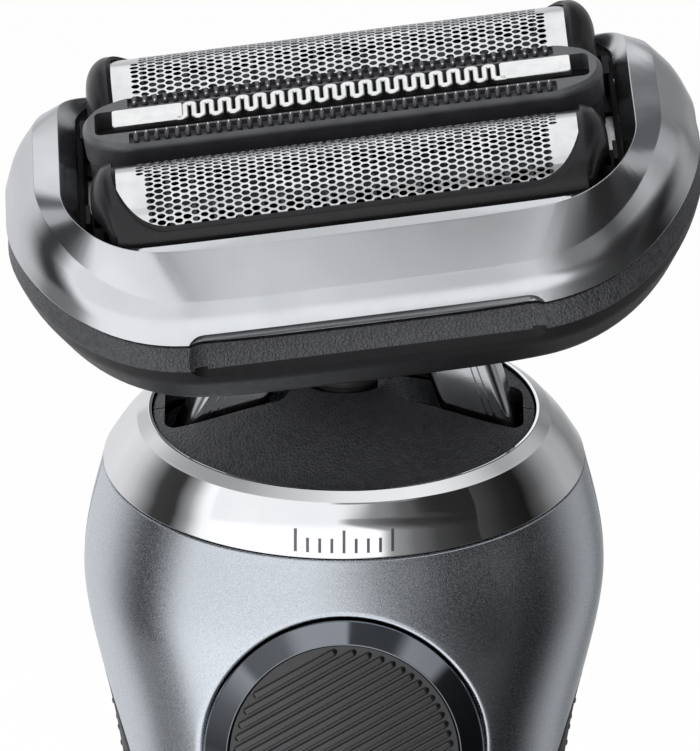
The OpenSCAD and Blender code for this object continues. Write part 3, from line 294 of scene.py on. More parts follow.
def finish(name, colour, second, rough, metal=0.0, tone_scale=300.0, spread=0.04, height=None,
           scale=3000.0, depth=0.01, stretch=None, **plain):
    """Material: two tones, roughness that varies a little, and a height in millimetres."""
    m = bpy.data.materials.new(name)
    m.use_nodes = True
    t = m.node_tree
    skin = t.nodes["Principled BSDF"]
    skin.inputs["Metallic"].default_value = metal
    for socket, value in plain.items():
        skin.inputs[socket.replace("_", " ")].default_value = value
    tones = add(t, "ShaderNodeGroup", node_tree=tone)
    for socket, value in (("Colour", (*colour, 1)), ("Second", (*second, 1)), ("Scale", tone_scale)):
        tones.inputs[socket].default_value = value
    t.links.new(tones.outputs["Colour"], skin.inputs["Base Color"])
    dull = add(t, "ShaderNodeMapRange", {"Value": tones.outputs["Mask"], "To Min": rough - spread,
                                         "To Max": rough + spread})
    t.links.new(dull.outputs[0], skin.inputs["Roughness"])
    if height:
        relief = add(t, "ShaderNodeGroup", node_tree=height)
        relief.inputs["Scale"].default_value = scale
        if stretch:
            relief.inputs["Stretch"].default_value = stretch
        bump = add(t, "ShaderNodeBump", {"Height": relief.outputs["Height"], "Distance": depth / 1000})
        t.links.new(bump.outputs[0], skin.inputs["Normal"])
    return m


def dress(material, *nodes):
    for n in nodes:
        o = frame["nodes"][n]
        o.data.materials.clear()
        o.data.materials.append(material)


chassis_plastic = finish("chassis_plastic", (0.55, 0.56, 0.58), (0.62, 0.63, 0.65), 0.5, height=moulded)
cell_sleeve = finish("cell_sleeve", (0.05, 0.3, 0.16), (0.04, 0.25, 0.13), 0.3, tone_scale=120)
nickel_tab = finish("nickel_tab", (0.7, 0.69, 0.66), (0.6, 0.59, 0.56), 0.3, 1.0, height=brushed)
board_mask = finish("board_mask", (0.03, 0.2, 0.08), (0.02, 0.15, 0.06), 0.35, tone_scale=900, height=moulded)
chip_black = finish("chip_black", (0.04, 0.04, 0.045), (0.06, 0.06, 0.065), 0.5, height=moulded)
gold_pin = finish("gold_pin", (0.85, 0.65, 0.25), (0.78, 0.58, 0.2), 0.2, 1.0)
zinc_steel = finish("zinc_steel", (0.6, 0.6, 0.61), (0.5, 0.5, 0.52), 0.3, 1.0, height=brushed)
moulded_black = finish("moulded_black", (0.02, 0.02, 0.022), (0.028, 0.028, 0.03), 0.42, height=moulded, depth=0.006)
# near-black soft plastic of the gaskets and seals; the same near-black is painted shade in the mouth of the head and in
# the trimmer's channel
soft_black_and_painted_shade = finish("soft_black_and_painted_shade", (0.007, 0.007, 0.008), (0.011, 0.011, 0.012), 0.6, height=moulded,
                    Specular_IOR_Level=0.3)
dress(chassis_plastic, "chassis")
dress(cell_sleeve, "battery_cell")
dress(nickel_tab, "battery_contacts")
dress(board_mask, "circuit_board")
dress(chip_black, "board_parts", "tactile_switch")
dress(moulded_black, "charge_inlet")
dress(gold_pin, "charge_pins")
dress(zinc_steel, "base_screws", "neck_screws", "arm_bracket")
dress(soft_black_and_painted_shade, "neck_gasket", "button_seal")

# ---- Casings of the handle -------------------------------------------------
# Front and rear casings of drawn metal, painted a fine metallic blue grey. They meet in
# thin seams, and the front one is pierced for the button.
neck_h, neck_y = neck_centre[2], neck_centre[1]
LEAN = math.degrees(math.atan2(-neck_axes[2][1], neck_axes[2][2]))
# height, centre y, lean, half width, half depth, fullness
STATIONS = np.array([
    [0, 0, 0, 14.8, 10.9, 2.5], [0.9, 0, 0, 16.45, 12.55, 2.5], [3.2, 0, 0, 17.2, 13.3, 2.5],
    [12, 0, 0, 17.3, 13.4, 2.5], [37, 0.2, 0, 17.6, 13.65, 2.5], [62, 0.6, 0, 18, 14, 2.5],
    [neck_h - 38, neck_y * 0.45, 4, 18.9, 14.8, 2.45], [neck_h - 24, neck_y * 0.7, 10, 20.9, 16.3, 2.35],
    [neck_h - 10, neck_y * 0.87, 17.5, 23.85, 18, 2.15], [neck_h, neck_y, LEAN, 22.1, 16.9, 2]])
V_CAP, V_TOP, V_GRIP_FULL = 3, len(STATIONS) - 1, 5.2
WALL = 1.8
SEAM = 0.15
ROUNDING = np.array([0, 0.1, 0.3, 0.6, 1])     # steps across a rounded edge


def station(v):
    v = np.asarray(v, float)
    i = np.clip(np.floor(v).astype(int), 0, V_TOP - 1)
    t = (v - i)[..., None]
    p, q, r, s = (STATIONS[np.clip(i + k, 0, V_TOP)] for k in (-1, 0, 1, 2))
    return 0.5 * (2 * q + (r - p) * t + (2 * p - 5 * q + 4 * r - s) * t ** 2 + (3 * q - p - 3 * r + s) * t ** 3)


def v_at(h):
    lo, hi = 0.0, float(V_TOP)
    for _ in range(40):
        m = (lo + hi) / 2
        lo, hi = (m, hi) if station(m)[0] < h else (lo, m)
    return (lo + hi) / 2


def handle_point(v, degrees, inset=0.0):
    s = station(v)
    t = np.radians(degrees)

    def power(c):
        return np.sign(c) * np.abs(c) ** (2 / s[..., 5])

    x, y = (s[..., 3] - inset) * power(np.cos(t)), (s[..., 4] - inset) * power(np.sin(t))
    lean = np.radians(s[..., 2])
    return np.stack([x + 0 * lean, s[..., 1] + y * np.cos(lean), s[..., 0] + y * np.sin(lean)], -1)


GRIP_TOP, GRIP_SPREAD = 104.3, 42
V_GRIP = v_at(GRIP_TOP)


def grip_reach(v):
    return GRIP_SPREAD * np.sin(np.radians(90 * np.clip((V_GRIP - v) / (V_GRIP - V_GRIP_FULL), 0, 1)))


def seam_turn(v):
    return np.degrees(np.arcsin(SEAM / station(v)[..., 3]))


def quads(m, n, around=True, loop=False, ends=False):
    """Faces of m rings of n points: closed round each ring, and from the last ring to the
    first or with a lid at both ends."""
    faces = [(i * n + j, i * n + (j + 1) % n, (i + 1) % m * n + (j + 1) % n, (i + 1) % m * n + j)
             for i in range(m if loop else m - 1) for j in range(n if around else n - 1)]
    if ends:
        faces += [tuple(range(n - 1, -1, -1)), tuple(range((m - 1) * n, m * n))]
    return faces


def solid(name, points, faces, weld=False):
    """A bare mesh from points in millimetres, with its faces turned outwards."""
    mesh = bpy.data.meshes.new(name)
    mesh.from_pydata((np.asarray(points, float).reshape(-1, 3) / 1000).tolist(), [], faces)
    bm = bmesh.new()
    bm.from_mesh(mesh)
    if weld:
        bmesh.ops.remove_doubles(bm, verts=bm.verts, dist=1e-7)
        bmesh.ops.dissolve_degenerate(bm, edges=bm.edges, dist=1e-7)
    bmesh.ops.recalc_face_normals(bm, faces=bm.faces)
    bm.to_mesh(mesh)
    bm.free()
    o = bpy.data.objects.new(name, mesh)
    bpy.context.scene.collection.objects.link(o)
    return o


def smooth(mesh, sharp):
    for p in mesh.polygons:
        p.use_smooth = True
    mesh.set_sharp_from_angle(angle=math.radians(sharp))


def piece(name, points, faces, material, body, nodes=(), slot=None, sharp=35):
    """A solid with a material that rides on a body and stands for CAD nodes."""
    o = solid(name, points, faces, True)
    smooth(o.data, sharp)
    o.data.materials.append(material)
    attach(o, body)
    if nodes:
        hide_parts(*nodes)
    return o


def edge_drop(d, r):
    """How far a rounded edge of radius r has dropped at distance d from the edge."""
    d = np.clip(d, 0, r)
    return r - np.sqrt(np.maximum(r * r - (r - d) ** 2, 0))


def wall_faces(m, n):
    """Faces of m loops of a wall, each with n points outside and n inside, shut at both ends."""
    return quads(m, 2 * n) + [(row + j, row + j + 1, row + 2 * n - 2 - j, row + 2 * n - 1 - j)
                              for row in (0, (m - 1) * 2 * n) for j in range(n - 1)]


def casing(v0, v1, low, high, rows, cols, r=0.3):
    """Closed stretch of the handle's wall with rounded edges: points and faces."""
    step = r / max(1e-6, (station(v1)[0] - station(v0)[0]) / (v1 - v0)) * ROUNDING
    v = np.unique(np.concatenate([v0 + step, v1 - step, np.linspace(v0, v1, rows)[1:-1]]))
    step = 0.012 * ROUNDING
    f = np.unique(np.concatenate([step, 1 - step, np.linspace(0, 1, cols)[1:-1]]))
    vv, ff = np.meshgrid(v, f, indexing="ij")
    tt = low(vv) + (high(vv) - low(vv)) * ff
    p = handle_point(vv, tt)
    across = np.minimum(np.linalg.norm(p - p[:, :1], axis=2), np.linalg.norm(p - p[:, -1:], axis=2))
    along = np.minimum(np.linalg.norm(p - p[:1], axis=2), np.linalg.norm(p - p[-1:], axis=2))
    drop = np.maximum(edge_drop(across, r), edge_drop(along, r))
    outer, inner = handle_point(vv, tt, drop), handle_point(vv, tt, WALL)
    return np.concatenate([outer, inner[:, ::-1]], axis=1), wall_faces(*vv.shape)


casing_paint = finish("casing_paint", (0.52, 0.55, 0.59), (0.72, 0.75, 0.79), 0.25, 1.0, tone_scale=9000,
                      spread=0.05, height=moulded, scale=9000, depth=0.0015)
rear_paint = finish("rear_paint", (0.46, 0.49, 0.53), (0.64, 0.67, 0.71), 0.28, 1.0, tone_scale=9000,
                    spread=0.05, height=moulded, scale=9000, depth=0.0015)
BUTTON_DROP = 24.2
button_z = neck_h - BUTTON_DROP
BUTTON_HOLE_R = 12.98
RIM, CORNER = 0.45, 0.3                # roundings of the button's hole and of the outer edge


def front_low(v):
    return 180 + grip_reach(v) + seam_turn(v)


def front_high(v):
    return 540 - front_low(v)


def on_front(x, z):
    """Place (v, degrees) on the front casing of each point (x, z), by Newton's steps."""
    v, t = np.full(len(x), v_at(button_z)), 270 + np.degrees(np.arcsin(x / 30))
    v = v + (z - button_z) / 14
    for _ in range(25):
        p, dv, dt = handle_point(v, t), handle_point(v + 1e-4, t), handle_point(v, t + 1e-3)
        a, b = (dv - p)[:, [0, 2]] / 1e-4, (dt - p)[:, [0, 2]] / 1e-3
        ex, ez = x - p[:, 0], z - p[:, 2]
        det = a[:, 0] * b[:, 1] - a[:, 1] * b[:, 0]
        v = v + np.clip((ex * b[:, 1] - ez * b[:, 0]) / det, -0.5, 0.5)
        t = t + np.clip((a[:, 0] * ez - a[:, 1] * ex) / det, -8, 8)
    return v, t


v0, v1 = V_CAP + 0.02, V_TOP - 0.018     # thin joints to the foot cap and the collar
side = v0 + (v1 - v0) * np.linspace(0, 1, 120)
flat = np.linspace(0, 1, 60)
edge_v = np.concatenate([np.full(59, v0), side[:-1], np.full(59, v1), side[:0:-1]])
edge_t = np.concatenate([(front_low(v0) + (front_high(v0) - front_low(v0)) * flat)[:-1], front_high(side[:-1]),
                         (front_high(v1) + (front_low(v1) - front_high(v1)) * flat)[:-1], front_low(side[:0:-1])])
edge_p = handle_point(edge_v, edge_t)
angle = np.arctan2(edge_p[:, 2] - button_z, edge_p[:, 0])
hole_v, hole_t = on_front(BUTTON_HOLE_R * np.cos(angle), button_z + BUTTON_HOLE_R * np.sin(angle))
span = np.linalg.norm(edge_p - handle_point(hole_v, hole_t), axis=1)


def on_way(s, inset=0.0):
    """Points on the way from the hole (0) to the outer edge (1), at a depth."""
    return handle_point(hole_v + (edge_v - hole_v) * s, hole_t + (edge_t - hole_t) * s, inset)


rings = [on_way(d / span, edge_drop(d, RIM) * 0.8) for d in RIM * np.array([0, 0.08, 0.25, 0.5, 0.75, 1])]
rings += [on_way(RIM / span + (1 - (RIM + CORNER) / span) * s) for s in np.linspace(0, 1, 46)[1:-1]]
rings += [on_way(1 - d / span, edge_drop(d, CORNER)) for d in CORNER * ROUNDING[::-1]]
rings += [on_way(s, WALL) for s in (1.0, 0.66, 0.33, 0.0)]
piece("front_casing", np.array(rings), quads(len(rings), len(angle), loop=True), casing_paint, "handle",
      ["front_shell"], "painted_casing")

points, faces = casing(v0, v1, lambda v: front_low(v) - 180, lambda v: 360 - front_low(v), 90, 70)
piece("rear_casing", points, faces, rear_paint, "handle", ["rear_cover"], "rear_casing")

# ---- Side grips and base cap -------------------------------------------------
# Soft rubber grips with rows of small dots are set into both flanks. A moulded cap closes
# the foot, with the charging inlet and two screws sunk in its flat underside.
grip_rubber = finish("grip_rubber", (0.03, 0.031, 0.034), (0.038, 0.039, 0.042), 0.55, height=moulded,
                     scale=5000, depth=0.008)
dot_rubber = finish("dot_rubber", (0.008, 0.008, 0.009), (0.012, 0.012, 0.013), 0.35, tone_scale=900)
DOT_PITCH, DOT_ROW, DOT_R, DOT_MARGIN = 2.3, 2.0, 0.28, 1.4
DOTS_LOW, DOTS_HIGH = 16, 101


def join(store, points, faces):
    """Adds a shape to a store of points and faces."""
    k = len(store[0])
    store[0].extend(np.asarray(points, float).reshape(-1, 3))
    store[1].extend(tuple(i + k for i in f) for f in faces)


def turns(n):
    return np.linspace(0, math.tau, n + 1)[:-1]


for word, middle in (("left", 180), ("right", 0)):
    points, faces = casing(v0, V_GRIP - 0.1, lambda v: middle - grip_reach(v) + 2 * seam_turn(v),
                           lambda v: middle + grip_reach(v) - 2 * seam_turn(v), 90, 34)
    piece(word + "_grip", points, faces, grip_rubber, "handle", [word + "_side_grip"], "grip_rubber")
    dots = ([], [])
    for row, h in enumerate(np.arange(DOTS_LOW, DOTS_HIGH, DOT_ROW)):
        v = v_at(h)
        reach = grip_reach(v)
        t = np.linspace(middle - reach, middle + reach, 80)
        run = np.linalg.norm(np.diff(handle_point(v, t), axis=0), axis=1)
        run = np.concatenate([[0], np.cumsum(run)])
        place = np.arange(run[-1] / 2 % DOT_PITCH + (row % 2) * DOT_PITCH / 2, run[-1], DOT_PITCH)
        for s in place[(place > DOT_MARGIN) & (place < run[-1] - DOT_MARGIN)]:
            a = np.interp(s, run, t)
            c = handle_point(v, a)
            along, across = unit(handle_point(v + 0.01, a) - c), unit(handle_point(v, a + 0.1) - c)
            out = unit(np.cross(across, along))
            join(dots, [c + r * (math.cos(q) * across + math.sin(q) * along) + up * out
                        for r, up in ((DOT_R, -0.05), (DOT_R * 0.9, 0.06), (DOT_R * 0.5, 0.1)) for q in turns(8)],
                 quads(3, 8, ends=True))
    piece(word + "_grip_dots", *dots, dot_rubber, "handle", slot="grip_rubber")


def carve(o, *cutters):
    """Cuts the cutters out of a piece for good."""
    for c in cutters:
        cut = o.modifiers.new("cut", "BOOLEAN")
        cut.solver = "EXACT"
        cut.object = c
    made = bpy.data.meshes.new_from_object(o.evaluated_get(bpy.context.evaluated_depsgraph_get()))
    o.modifiers.clear()
    o.data = made
    smooth(made, 35)
    for c in cutters:
        bpy.data.objects.remove(c)


def prism(outline, z0, z1, place=np.array):
    """Points and faces of a flat outline drawn up from z0 to z1."""
    return place([[x, y, z] for z in (z0, z1) for x, y in outline]), quads(2, len(outline), ends=True)


def slot_outline(half_w, half_d, r, n=10, x=0.0, y=0.0):
    """Outline of a rounded rectangle round the point x, y."""
    return [(x + cx * (half_w - r) + r * math.cos(a), y + cy * (half_d - r) + r * math.sin(a))
            for cx, cy, a0 in ((1, 1, 0), (-1, 1, 90), (-1, -1, 180), (1, -1, 270))
            for a in np.radians(np.linspace(a0, a0 + 90, n))]


CAP_N, CAP_FLOOR = 160, 2.4
SCREW_X, SCREW_R, SCREW_SUNK = 9.9, 1.6, 1.2
turn = np.degrees(turns(CAP_N))
rows = [handle_point(v, turn) for v in np.concatenate([np.linspace(0, 2, 17), np.linspace(2.1, V_CAP, 10)])]
rows += [handle_point(V_CAP, turn, 0.3) + (0, 0, 0.1), handle_point(V_CAP, turn, WALL), handle_point(2, turn, WALL)]
rows[-1][:, 2] = CAP_FLOOR
base_cap = piece("foot_cap", rows, quads(len(rows), CAP_N, ends=True), moulded_black, "handle", ["base_cap"],
                 "black_plastic")
carve(base_cap, solid("inlet_cut", *prism(slot_outline(6.75, 4.45, 4.4), -1, 4)),
      *[solid("screw_cut", *prism([(s * SCREW_X + SCREW_R * math.cos(a), SCREW_R * math.sin(a)) for a in turns(32)],
                                  -1, SCREW_SUNK)) for s in (-1, 1)])

# clear window of the charge light, a low lens set flush in the front casing
light_lens = finish("light_lens", (0.75, 0.8, 0.85), (0.7, 0.76, 0.82), 0.12, tone_scale=600, Transmission_Weight=0.3)


def revolve(profile, n=96, ends=False):
    """Rings and faces of a profile of (radius, height) round the Z axis."""
    rings = [[(r * math.cos(t), r * math.sin(t), z) for t in turns(n)] for r, z in profile]
    return np.array(rings), quads(len(profile), n, loop=not ends, ends=ends)


def on_button(p):
    """From a frame that looks out of the front, to the handle at the button's height."""
    p = np.asarray(p, float)
    return np.stack([p[..., 0], -p[..., 2], p[..., 1] + button_z], -1)


LENS_DROP = 9                         # from the hole of the button down to the lens
rings, faces = revolve([(1.15, -3), (1.15, 0.05), (1.05, 0.14), (0.8, 0.19), (0.4, 0.22)], 32, True)
rings = on_button(rings + (0, -BUTTON_HOLE_R - LENS_DROP, -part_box("charge_light_lens")[0].y * 1000))
piece("charge_lens", rings, faces, light_lens, "handle", ["charge_light_lens"], "clear_lens")

# ---- Power button ------------------------------------------------------------
# A matt disc with moulded slanting ribs springs inside a bevelled ring of gloss black
# plastic, which is clipped into the round hole of the front casing.
gloss_black = finish("gloss_black", (0.22, 0.235, 0.26), (0.24, 0.255, 0.28), 0.07, 1.0, tone_scale=200, spread=0.02)
disc_plastic = finish("disc_plastic", (0.006, 0.006, 0.007), (0.009, 0.009, 0.01), 0.24, height=moulded,
                      scale=7000, depth=0.004, Specular_IOR_Level=0.9)


def soften(rows, cut, steps=4, closed=True):
    """Rounds each corner between neighbouring rows of numbers, by up to the cut of that row.
    A point just outside each rounding keeps the flat stretch beside it flat to the light."""
    rows = np.asarray(rows, float)
    n = len(rows)
    cut = np.broadcast_to(cut, n)
    out = []
    for i in range(n):
        p, q, r = rows[i - 1], rows[i], rows[(i + 1) % n]
        if cut[i] <= 0 or (not closed and i in (0, n - 1)):
            out.append(q)
            continue
        near, far = (min(0.42, cut[i] / max(1e-6, np.linalg.norm(w - q))) for w in (p, r))
        a, b = q + (p - q) * near, q + (r - q) * far
        out.append(q + (p - q) * min(0.46, near * 1.12))
        for t in np.linspace(0, 1, steps + 1):
            out.append((1 - t) ** 2 * a + 2 * t * (1 - t) * q + t * t * b)
        out.append(q + (r - q) * min(0.46, far * 1.12))
    return np.array(out)


face_y = handle_point(v_at(button_z + 2.9), 270)[1]
bezel_r, disc_r, gap = BUTTON_HOLE_R - 0.25, BUTTON_HOLE_R - 2.45, 0.1
bezel_front, disc_front = face_y - 0.35, face_y - 0.2
BEVEL = math.tan(math.radians(33))
bevel_back = bezel_front + (bezel_r - 0.1 - disc_r - 0.12) * BEVEL
profile = soften([(disc_r, -bezel_front - 4), (disc_r, -bezel_front - 0.1), (disc_r + 0.12, -bezel_front),
                  (bezel_r - 0.1, -bevel_back), (bezel_r, -bevel_back - 0.25), (bezel_r, -bezel_front - 4)],
                 [0, 0.05, 0.07, 0.06, 0.06, 0])
rings, faces = revolve(profile, 180)
piece("button_ring", on_button(rings), faces, gloss_black, "handle", ["button_bezel"], "gloss_black")

RIB_PITCH, RIB_TURN, RIB_REACH, RIB_HALF, RIB_HIGH, RIB_END = 0.9, math.radians(29.5), 10.0, 0.3, 0.42, 0.45
STEM_R, STEM_END = 2.4, 8.95          # the stem reaches in to the switch
disc_edge, rib_foot = disc_r - gap, -disc_front - 0.45
button = ([], [])
join(button, *revolve(soften([(0.01, -disc_front - 2), (disc_edge, -disc_front - 2), (disc_edge, -disc_front - 0.4),
                              (0.01, -disc_front - 0.4)], [0, 0, 0.06, 0], closed=False), 120, True))
join(button, *revolve([(STEM_R, -disc_front - 1.9), (STEM_R, STEM_END)], 40, True))
section = soften([(-RIB_HALF, -0.1), (-RIB_HALF, RIB_HIGH), (RIB_HALF, RIB_HIGH), (RIB_HALF, -0.1)],
                 [0, 0.14, 0.1, 0], 4, False)
taper = RIB_END * (1 - np.cos(np.radians(np.linspace(8, 90, 6))))
for v in RIB_PITCH * np.arange(-10, 11):
    reach = math.sqrt(RIB_REACH ** 2 - v * v)
    bar = []
    for u in np.concatenate([taper - reach, reach - taper[::-1]]):
        k = math.sqrt(max(0.02, 1 - max(0, 1 - (reach - abs(u)) / RIB_END) ** 2))
        bar.append([(u, v + k * w, rib_foot + min(h, RIB_HIGH * k)) for w, h in section])
    bar = np.array(bar)
    c, s = math.cos(RIB_TURN), math.sin(RIB_TURN)
    bar = np.stack([bar[..., 0] * c - bar[..., 1] * s, bar[..., 0] * s + bar[..., 1] * c, bar[..., 2]], -1)
    join(button, bar, quads(*bar.shape[:2], ends=True))
piece("ribbed_button", on_button(button[0]), button[1], disc_plastic, "power_button", ["power_button"], "black_plastic",
      sharp=50)

# ---- Collar, dome and boot of the neck -----------------------------------------
# A polished collar with a raised scale of index ticks closes the casings. Inside it sits
# the grained dome, moulded in two halves with a slot for each arm, round a rubber boot.
collar_chrome = finish("collar_chrome", (0.86, 0.86, 0.865), (0.82, 0.825, 0.835), 0.06, 1.0, tone_scale=150, spread=0.02)
tick_dark = finish("tick_dark", (0.1, 0.1, 0.11), (0.14, 0.14, 0.15), 0.3, 0.6, tone_scale=900)
grained = finish("grained", (0.042, 0.043, 0.047), (0.056, 0.057, 0.062), 0.36, tone_scale=1500, spread=0.06,
                 height=leather, scale=2600, depth=0.03, Specular_IOR_Level=1.0)
boot_rubber = finish("boot_rubber", (0.012, 0.012, 0.013), (0.02, 0.02, 0.021), 0.5, height=moulded, scale=4000)


def at_neck(p):
    return neck_centre + np.asarray(p, float) @ neck_axes


cw, cd, ch = 22.1, 16.9, 5.1
dw = 17.5
dd = dw * cd / cw
rows = soften([(cw, cd, 0.05), (cw - 1.35, cd - 1.05, ch * 0.47), (dw + 1.5, dd + 1.15, ch - 0.6),
               (dw + 0.4, dd + 0.3, ch + 0.25), (dw + 0.1, dd + 0.1, ch + 0.2), (dw + 0.1, dd + 0.1, ch - 1.8),
               (cw - 2, cd - 2, 0.05)],
              [0.12, 9, 0.14, 0.08, 0.06, 0, 0], 6)
rings = np.array([[(a * math.cos(q), b * math.sin(q), z) for q in turns(240)] for a, b, z in rows])
piece("collar", at_neck(rings), quads(len(rows), 240, loop=True), collar_chrome, "handle", ["collar_ring"],
      "polished_collar")

TICKS, TICK_PITCH, TICK_HALF, TICK_FOOT = 9, 1.1, 0.13, 0.55
ticks = ([], [])
for i in range(TICKS):
    x = (i - (TICKS - 1) / 2) * TICK_PITCH
    top = TICK_FOOT + (1.2 if i % 4 else 1.9)
    box = []
    for up in (-0.06, 0.05):
        for way, h in ((-1, TICK_FOOT), (1, TICK_FOOT), (1, top), (-1, top)):
            x1 = x + way * TICK_HALF
            k = h / (ch * 0.47)
            a, b = cw - 1.35 * k + up, cd - 1.05 * k + up
            box.append((x1, -b * math.sqrt(1 - (x1 / a) ** 2), h + up * 0.3))
    join(ticks, box, quads(2, 4, ends=True))
piece("collar_ticks", at_neck(ticks[0]), ticks[1], tick_dark, "handle", slot="polished_collar")

BOOT_R, DOME_WALL, DOME_RISE = 4.4, 1.5, 4.4
SLOT_IN, SLOT_OUT, SLOT_HALF = 5.0, 16.4, 3.4


def dome_z(s):
    return ch + DOME_RISE * (1 - s * s) ** 1.7


def dome_half(t0, name, node):
    t = np.radians(np.linspace(t0 + 0.3, t0 + 179.7, 110))
    scales = [(1, 0.25), (0.995, 0.08)] + [(s, 0) for s in np.linspace(0.985, BOOT_R / dw, 40)]
    loops = [[(dw * s * math.cos(q), dd * s * math.sin(q), dome_z(s) - d)
              for d, way in ((drop, t), (DOME_WALL, t[::-1])) for q in way] for s, drop in scales]
    o = piece(name, at_neck(loops), wall_faces(len(loops), len(t)), grained, "handle", [node], "grained_plastic")
    carve(o, *[solid("slot_cut", *prism(slot_outline((SLOT_OUT - SLOT_IN) / 2, SLOT_HALF, 1.2,
                                                     x=s * (SLOT_IN + SLOT_OUT) / 2), 0, 20, at_neck)) for s in (-1, 1)])


dome_half(180, "dome_front", "neck_dome_front")
dome_half(0, "dome_rear", "neck_dome_rear")
top = float(dome_z(0))
profile = soften([(1.2, 6), (BOOT_R * 0.7, 6), (BOOT_R * 0.7, top - 0.9), (BOOT_R * 0.74, top - 0.2),
                  (BOOT_R * 0.9, top + 0.4), (BOOT_R * 0.86, top + 1.5), (3, top + 1.9), (3, top + 3.3),
                  (2.2, top + 3.7), (2.2, top + 5), (1.2, top + 5)],
                 [0, 0, 0, 0, 0.4, 0.4, 0.2, 0.3, 0.2, 0.2, 0])
rings, faces = revolve(profile, 72)
piece("boot", at_neck(rings), faces, boot_rubber, "handle", ["neck_boot"], "boot_rubber")

# ---- Swing arms and roll frame ------------------------------------------------
# Two flat bars of polished steel lean inwards from hinges in the neck to the zinc roll
# frame inside the head. A ground groove follows the outer edge of each.
arm_steel = finish("arm_steel", (0.5, 0.505, 0.515), (0.42, 0.425, 0.435), 0.16, 1.0, tone_scale=250, height=brushed,
                   scale=5000, depth=0.002)
pin_steel = finish("pin_steel", (0.62, 0.62, 0.63), (0.55, 0.55, 0.56), 0.2, 1.0, height=brushed)
# the zinc roll frame is coloured near-black and not metallic: painted shade under the head
zamak_painted_shade = finish("zamak_painted_shade", (0.02, 0.02, 0.022), (0.03, 0.03, 0.032), 0.5, height=moulded)
dress(pin_steel, "arm_hinge_pins", "arm_top_pins", "tilt_pins", "drive_pins")
dress(zamak_painted_shade, "roll_frame")
head_x = unit(joints["head_tilt"]["axis"])
head_z = unit(joints["cassette_lift"]["axis"])
head_axes = np.array([head_x, np.cross(head_z, head_x), head_z])


def at_head(p):
    return roll_centre + np.asarray(p, float) @ head_axes


def lying_y(r, l, n=48):
    """Points and faces of a cylinder that lies along Y, round the origin."""
    rings = [[(r * math.cos(t), y, r * math.sin(t)) for t in turns(n)] for y in (-l / 2, l / 2)]
    return np.array(rings), quads(2, n, ends=True)


# the lines of the arms meet at the roll axis, well above their hinges
ARM_X, ARM_W, ARM_T, ARM_SHIFT, ARM_TOP_DROP, ARM_MEET = 14.9, 5.8, 5.6, 0.15, 14, 41
ARM_TOP_X = ARM_X * ARM_TOP_DROP / ARM_MEET
for side, word in ((-1, "left"), (1, "right")):
    foot = np.array([side * ARM_X, 0, -ARM_FOOT_DROP])
    head_point = at_head([side * ARM_TOP_X, 0, -ARM_TOP_DROP])
    head_local = (head_point - neck_centre) @ neck_axes.T
    run = head_local - foot
    along = unit([run[0], 0, run[2]])
    across = np.array([along[2], 0, -along[0]])
    outline = [(centre, math.cos(a) * across + math.sin(a) * along) for centre, a0 in ((foot, 180), (head_local, 0))
               for a in np.radians(np.linspace(a0, a0 + 180, 25))]
    rows = soften([(-2, -ARM_T / 2), (0, -ARM_T / 2), (0, ARM_T / 2), (-2, ARM_T / 2)], [0, 1.3, 1.3, 0], 8, False)
    outer = side * np.sign(across[0]) * across
    rings = np.array([[c + ARM_SHIFT * outer + (ARM_W / 2 + ARM_SHIFT + out) * d for c, d in outline]
                      for out, _ in rows])
    rings[:, :, 1] = rows[:, 1][:, None]
    faces = quads(len(rows), len(outline), ends=True)
    arm = piece(word + "_arm_bar", at_neck(rings), faces, arm_steel, word + "_arm", [word + "_swing_arm"],
                "polished_steel")
    cutters = []
    for face in (-1, 1):
        for k, width in ((1.15, 0.22), (1.75, 0.16)):
            groove = [foot + run * t + (ARM_W / 2 - k) * outer + w * width / 2 * across
                      + np.array([0, face * ARM_T / 2 + d, 0])
                      for d in (-0.2, 0.2) for t, w in ((0.16, -1), (0.16, 1), (0.84, 1), (0.84, -1))]
            cutters.append(solid("groove", at_neck(groove), quads(2, 4, ends=True)))
    for point, r in ((at_neck(foot), 1.55), (head_point, 1.7)):
        pts, faces = lying_y(r, 30)
        cutters.append(solid("bore", point + pts, faces))
    carve(arm, *cutters)

# ---- Lower shell of the head ----------------------------------------------------
# A dish of grained plastic with a smoother band round its rim and a finger scoop in
# front. Two ears inside it turn on the tilt pins of the roll frame.
head_grain = finish("head_grain", (0.03, 0.0305, 0.034), (0.045, 0.046, 0.05), 0.4, tone_scale=1500, spread=0.06,
                    height=leather, scale=2500, depth=0.04, Specular_IOR_Level=0.8)
# smoother plastic below the ridge; its near-black colour and low sheen are painted shade under the rim of the head
smooth_underside_painted_shade = finish("smooth_underside_painted_shade", (0.005, 0.005, 0.0058), (0.008, 0.008, 0.009), 0.42, tone_scale=1500,
                       height=moulded, scale=4000, depth=0.006, Specular_IOR_Level=0.25)
hw, hf, hb = 31.3, 19.7, 18.3
# half width, front, back, front corner, back corner across and deep, height at the ends and
# in front, how late it drops, fall towards the back
EDGE = np.array([hw, hf, hb, 15, 19.5, 18, -4.6, -10.3, 4, 0])
CROWN = np.array([hw - 1.1, hf - 0.55, hb - 0.3, 13.9, 17.6, 16.2, -2.2, -8.4, 4.4, 0])
CREASE = np.array([hw - 3.1, hf - 1.5, hb - 0.9, 12.6, 15.5, 14.2, -0.2, -6.6, 5, 0])
INNER = np.array([hw - 5.5, hf - 3.9, hb - 1.9, 8, 10.5, 9.5, 0.2, -2.6, 5, 3.4])
MOUTH = np.array([hw - 6.9, hf - 4.5, hb - 2.9, 6, 7, 7, -1.9, -2, 3.5, 2.8])
UNDER = np.array([hw - 4.2, hf - 2.6, hb - 2.0, 11.5, 14.4, 13.1, -1.5, -6.9, 5, 3])
RIDGE = np.array([hw + 0.1, hf + 0.1, hb + 0.1, 15, 19.5, 18, -6.9, -12.9, 4, 0])
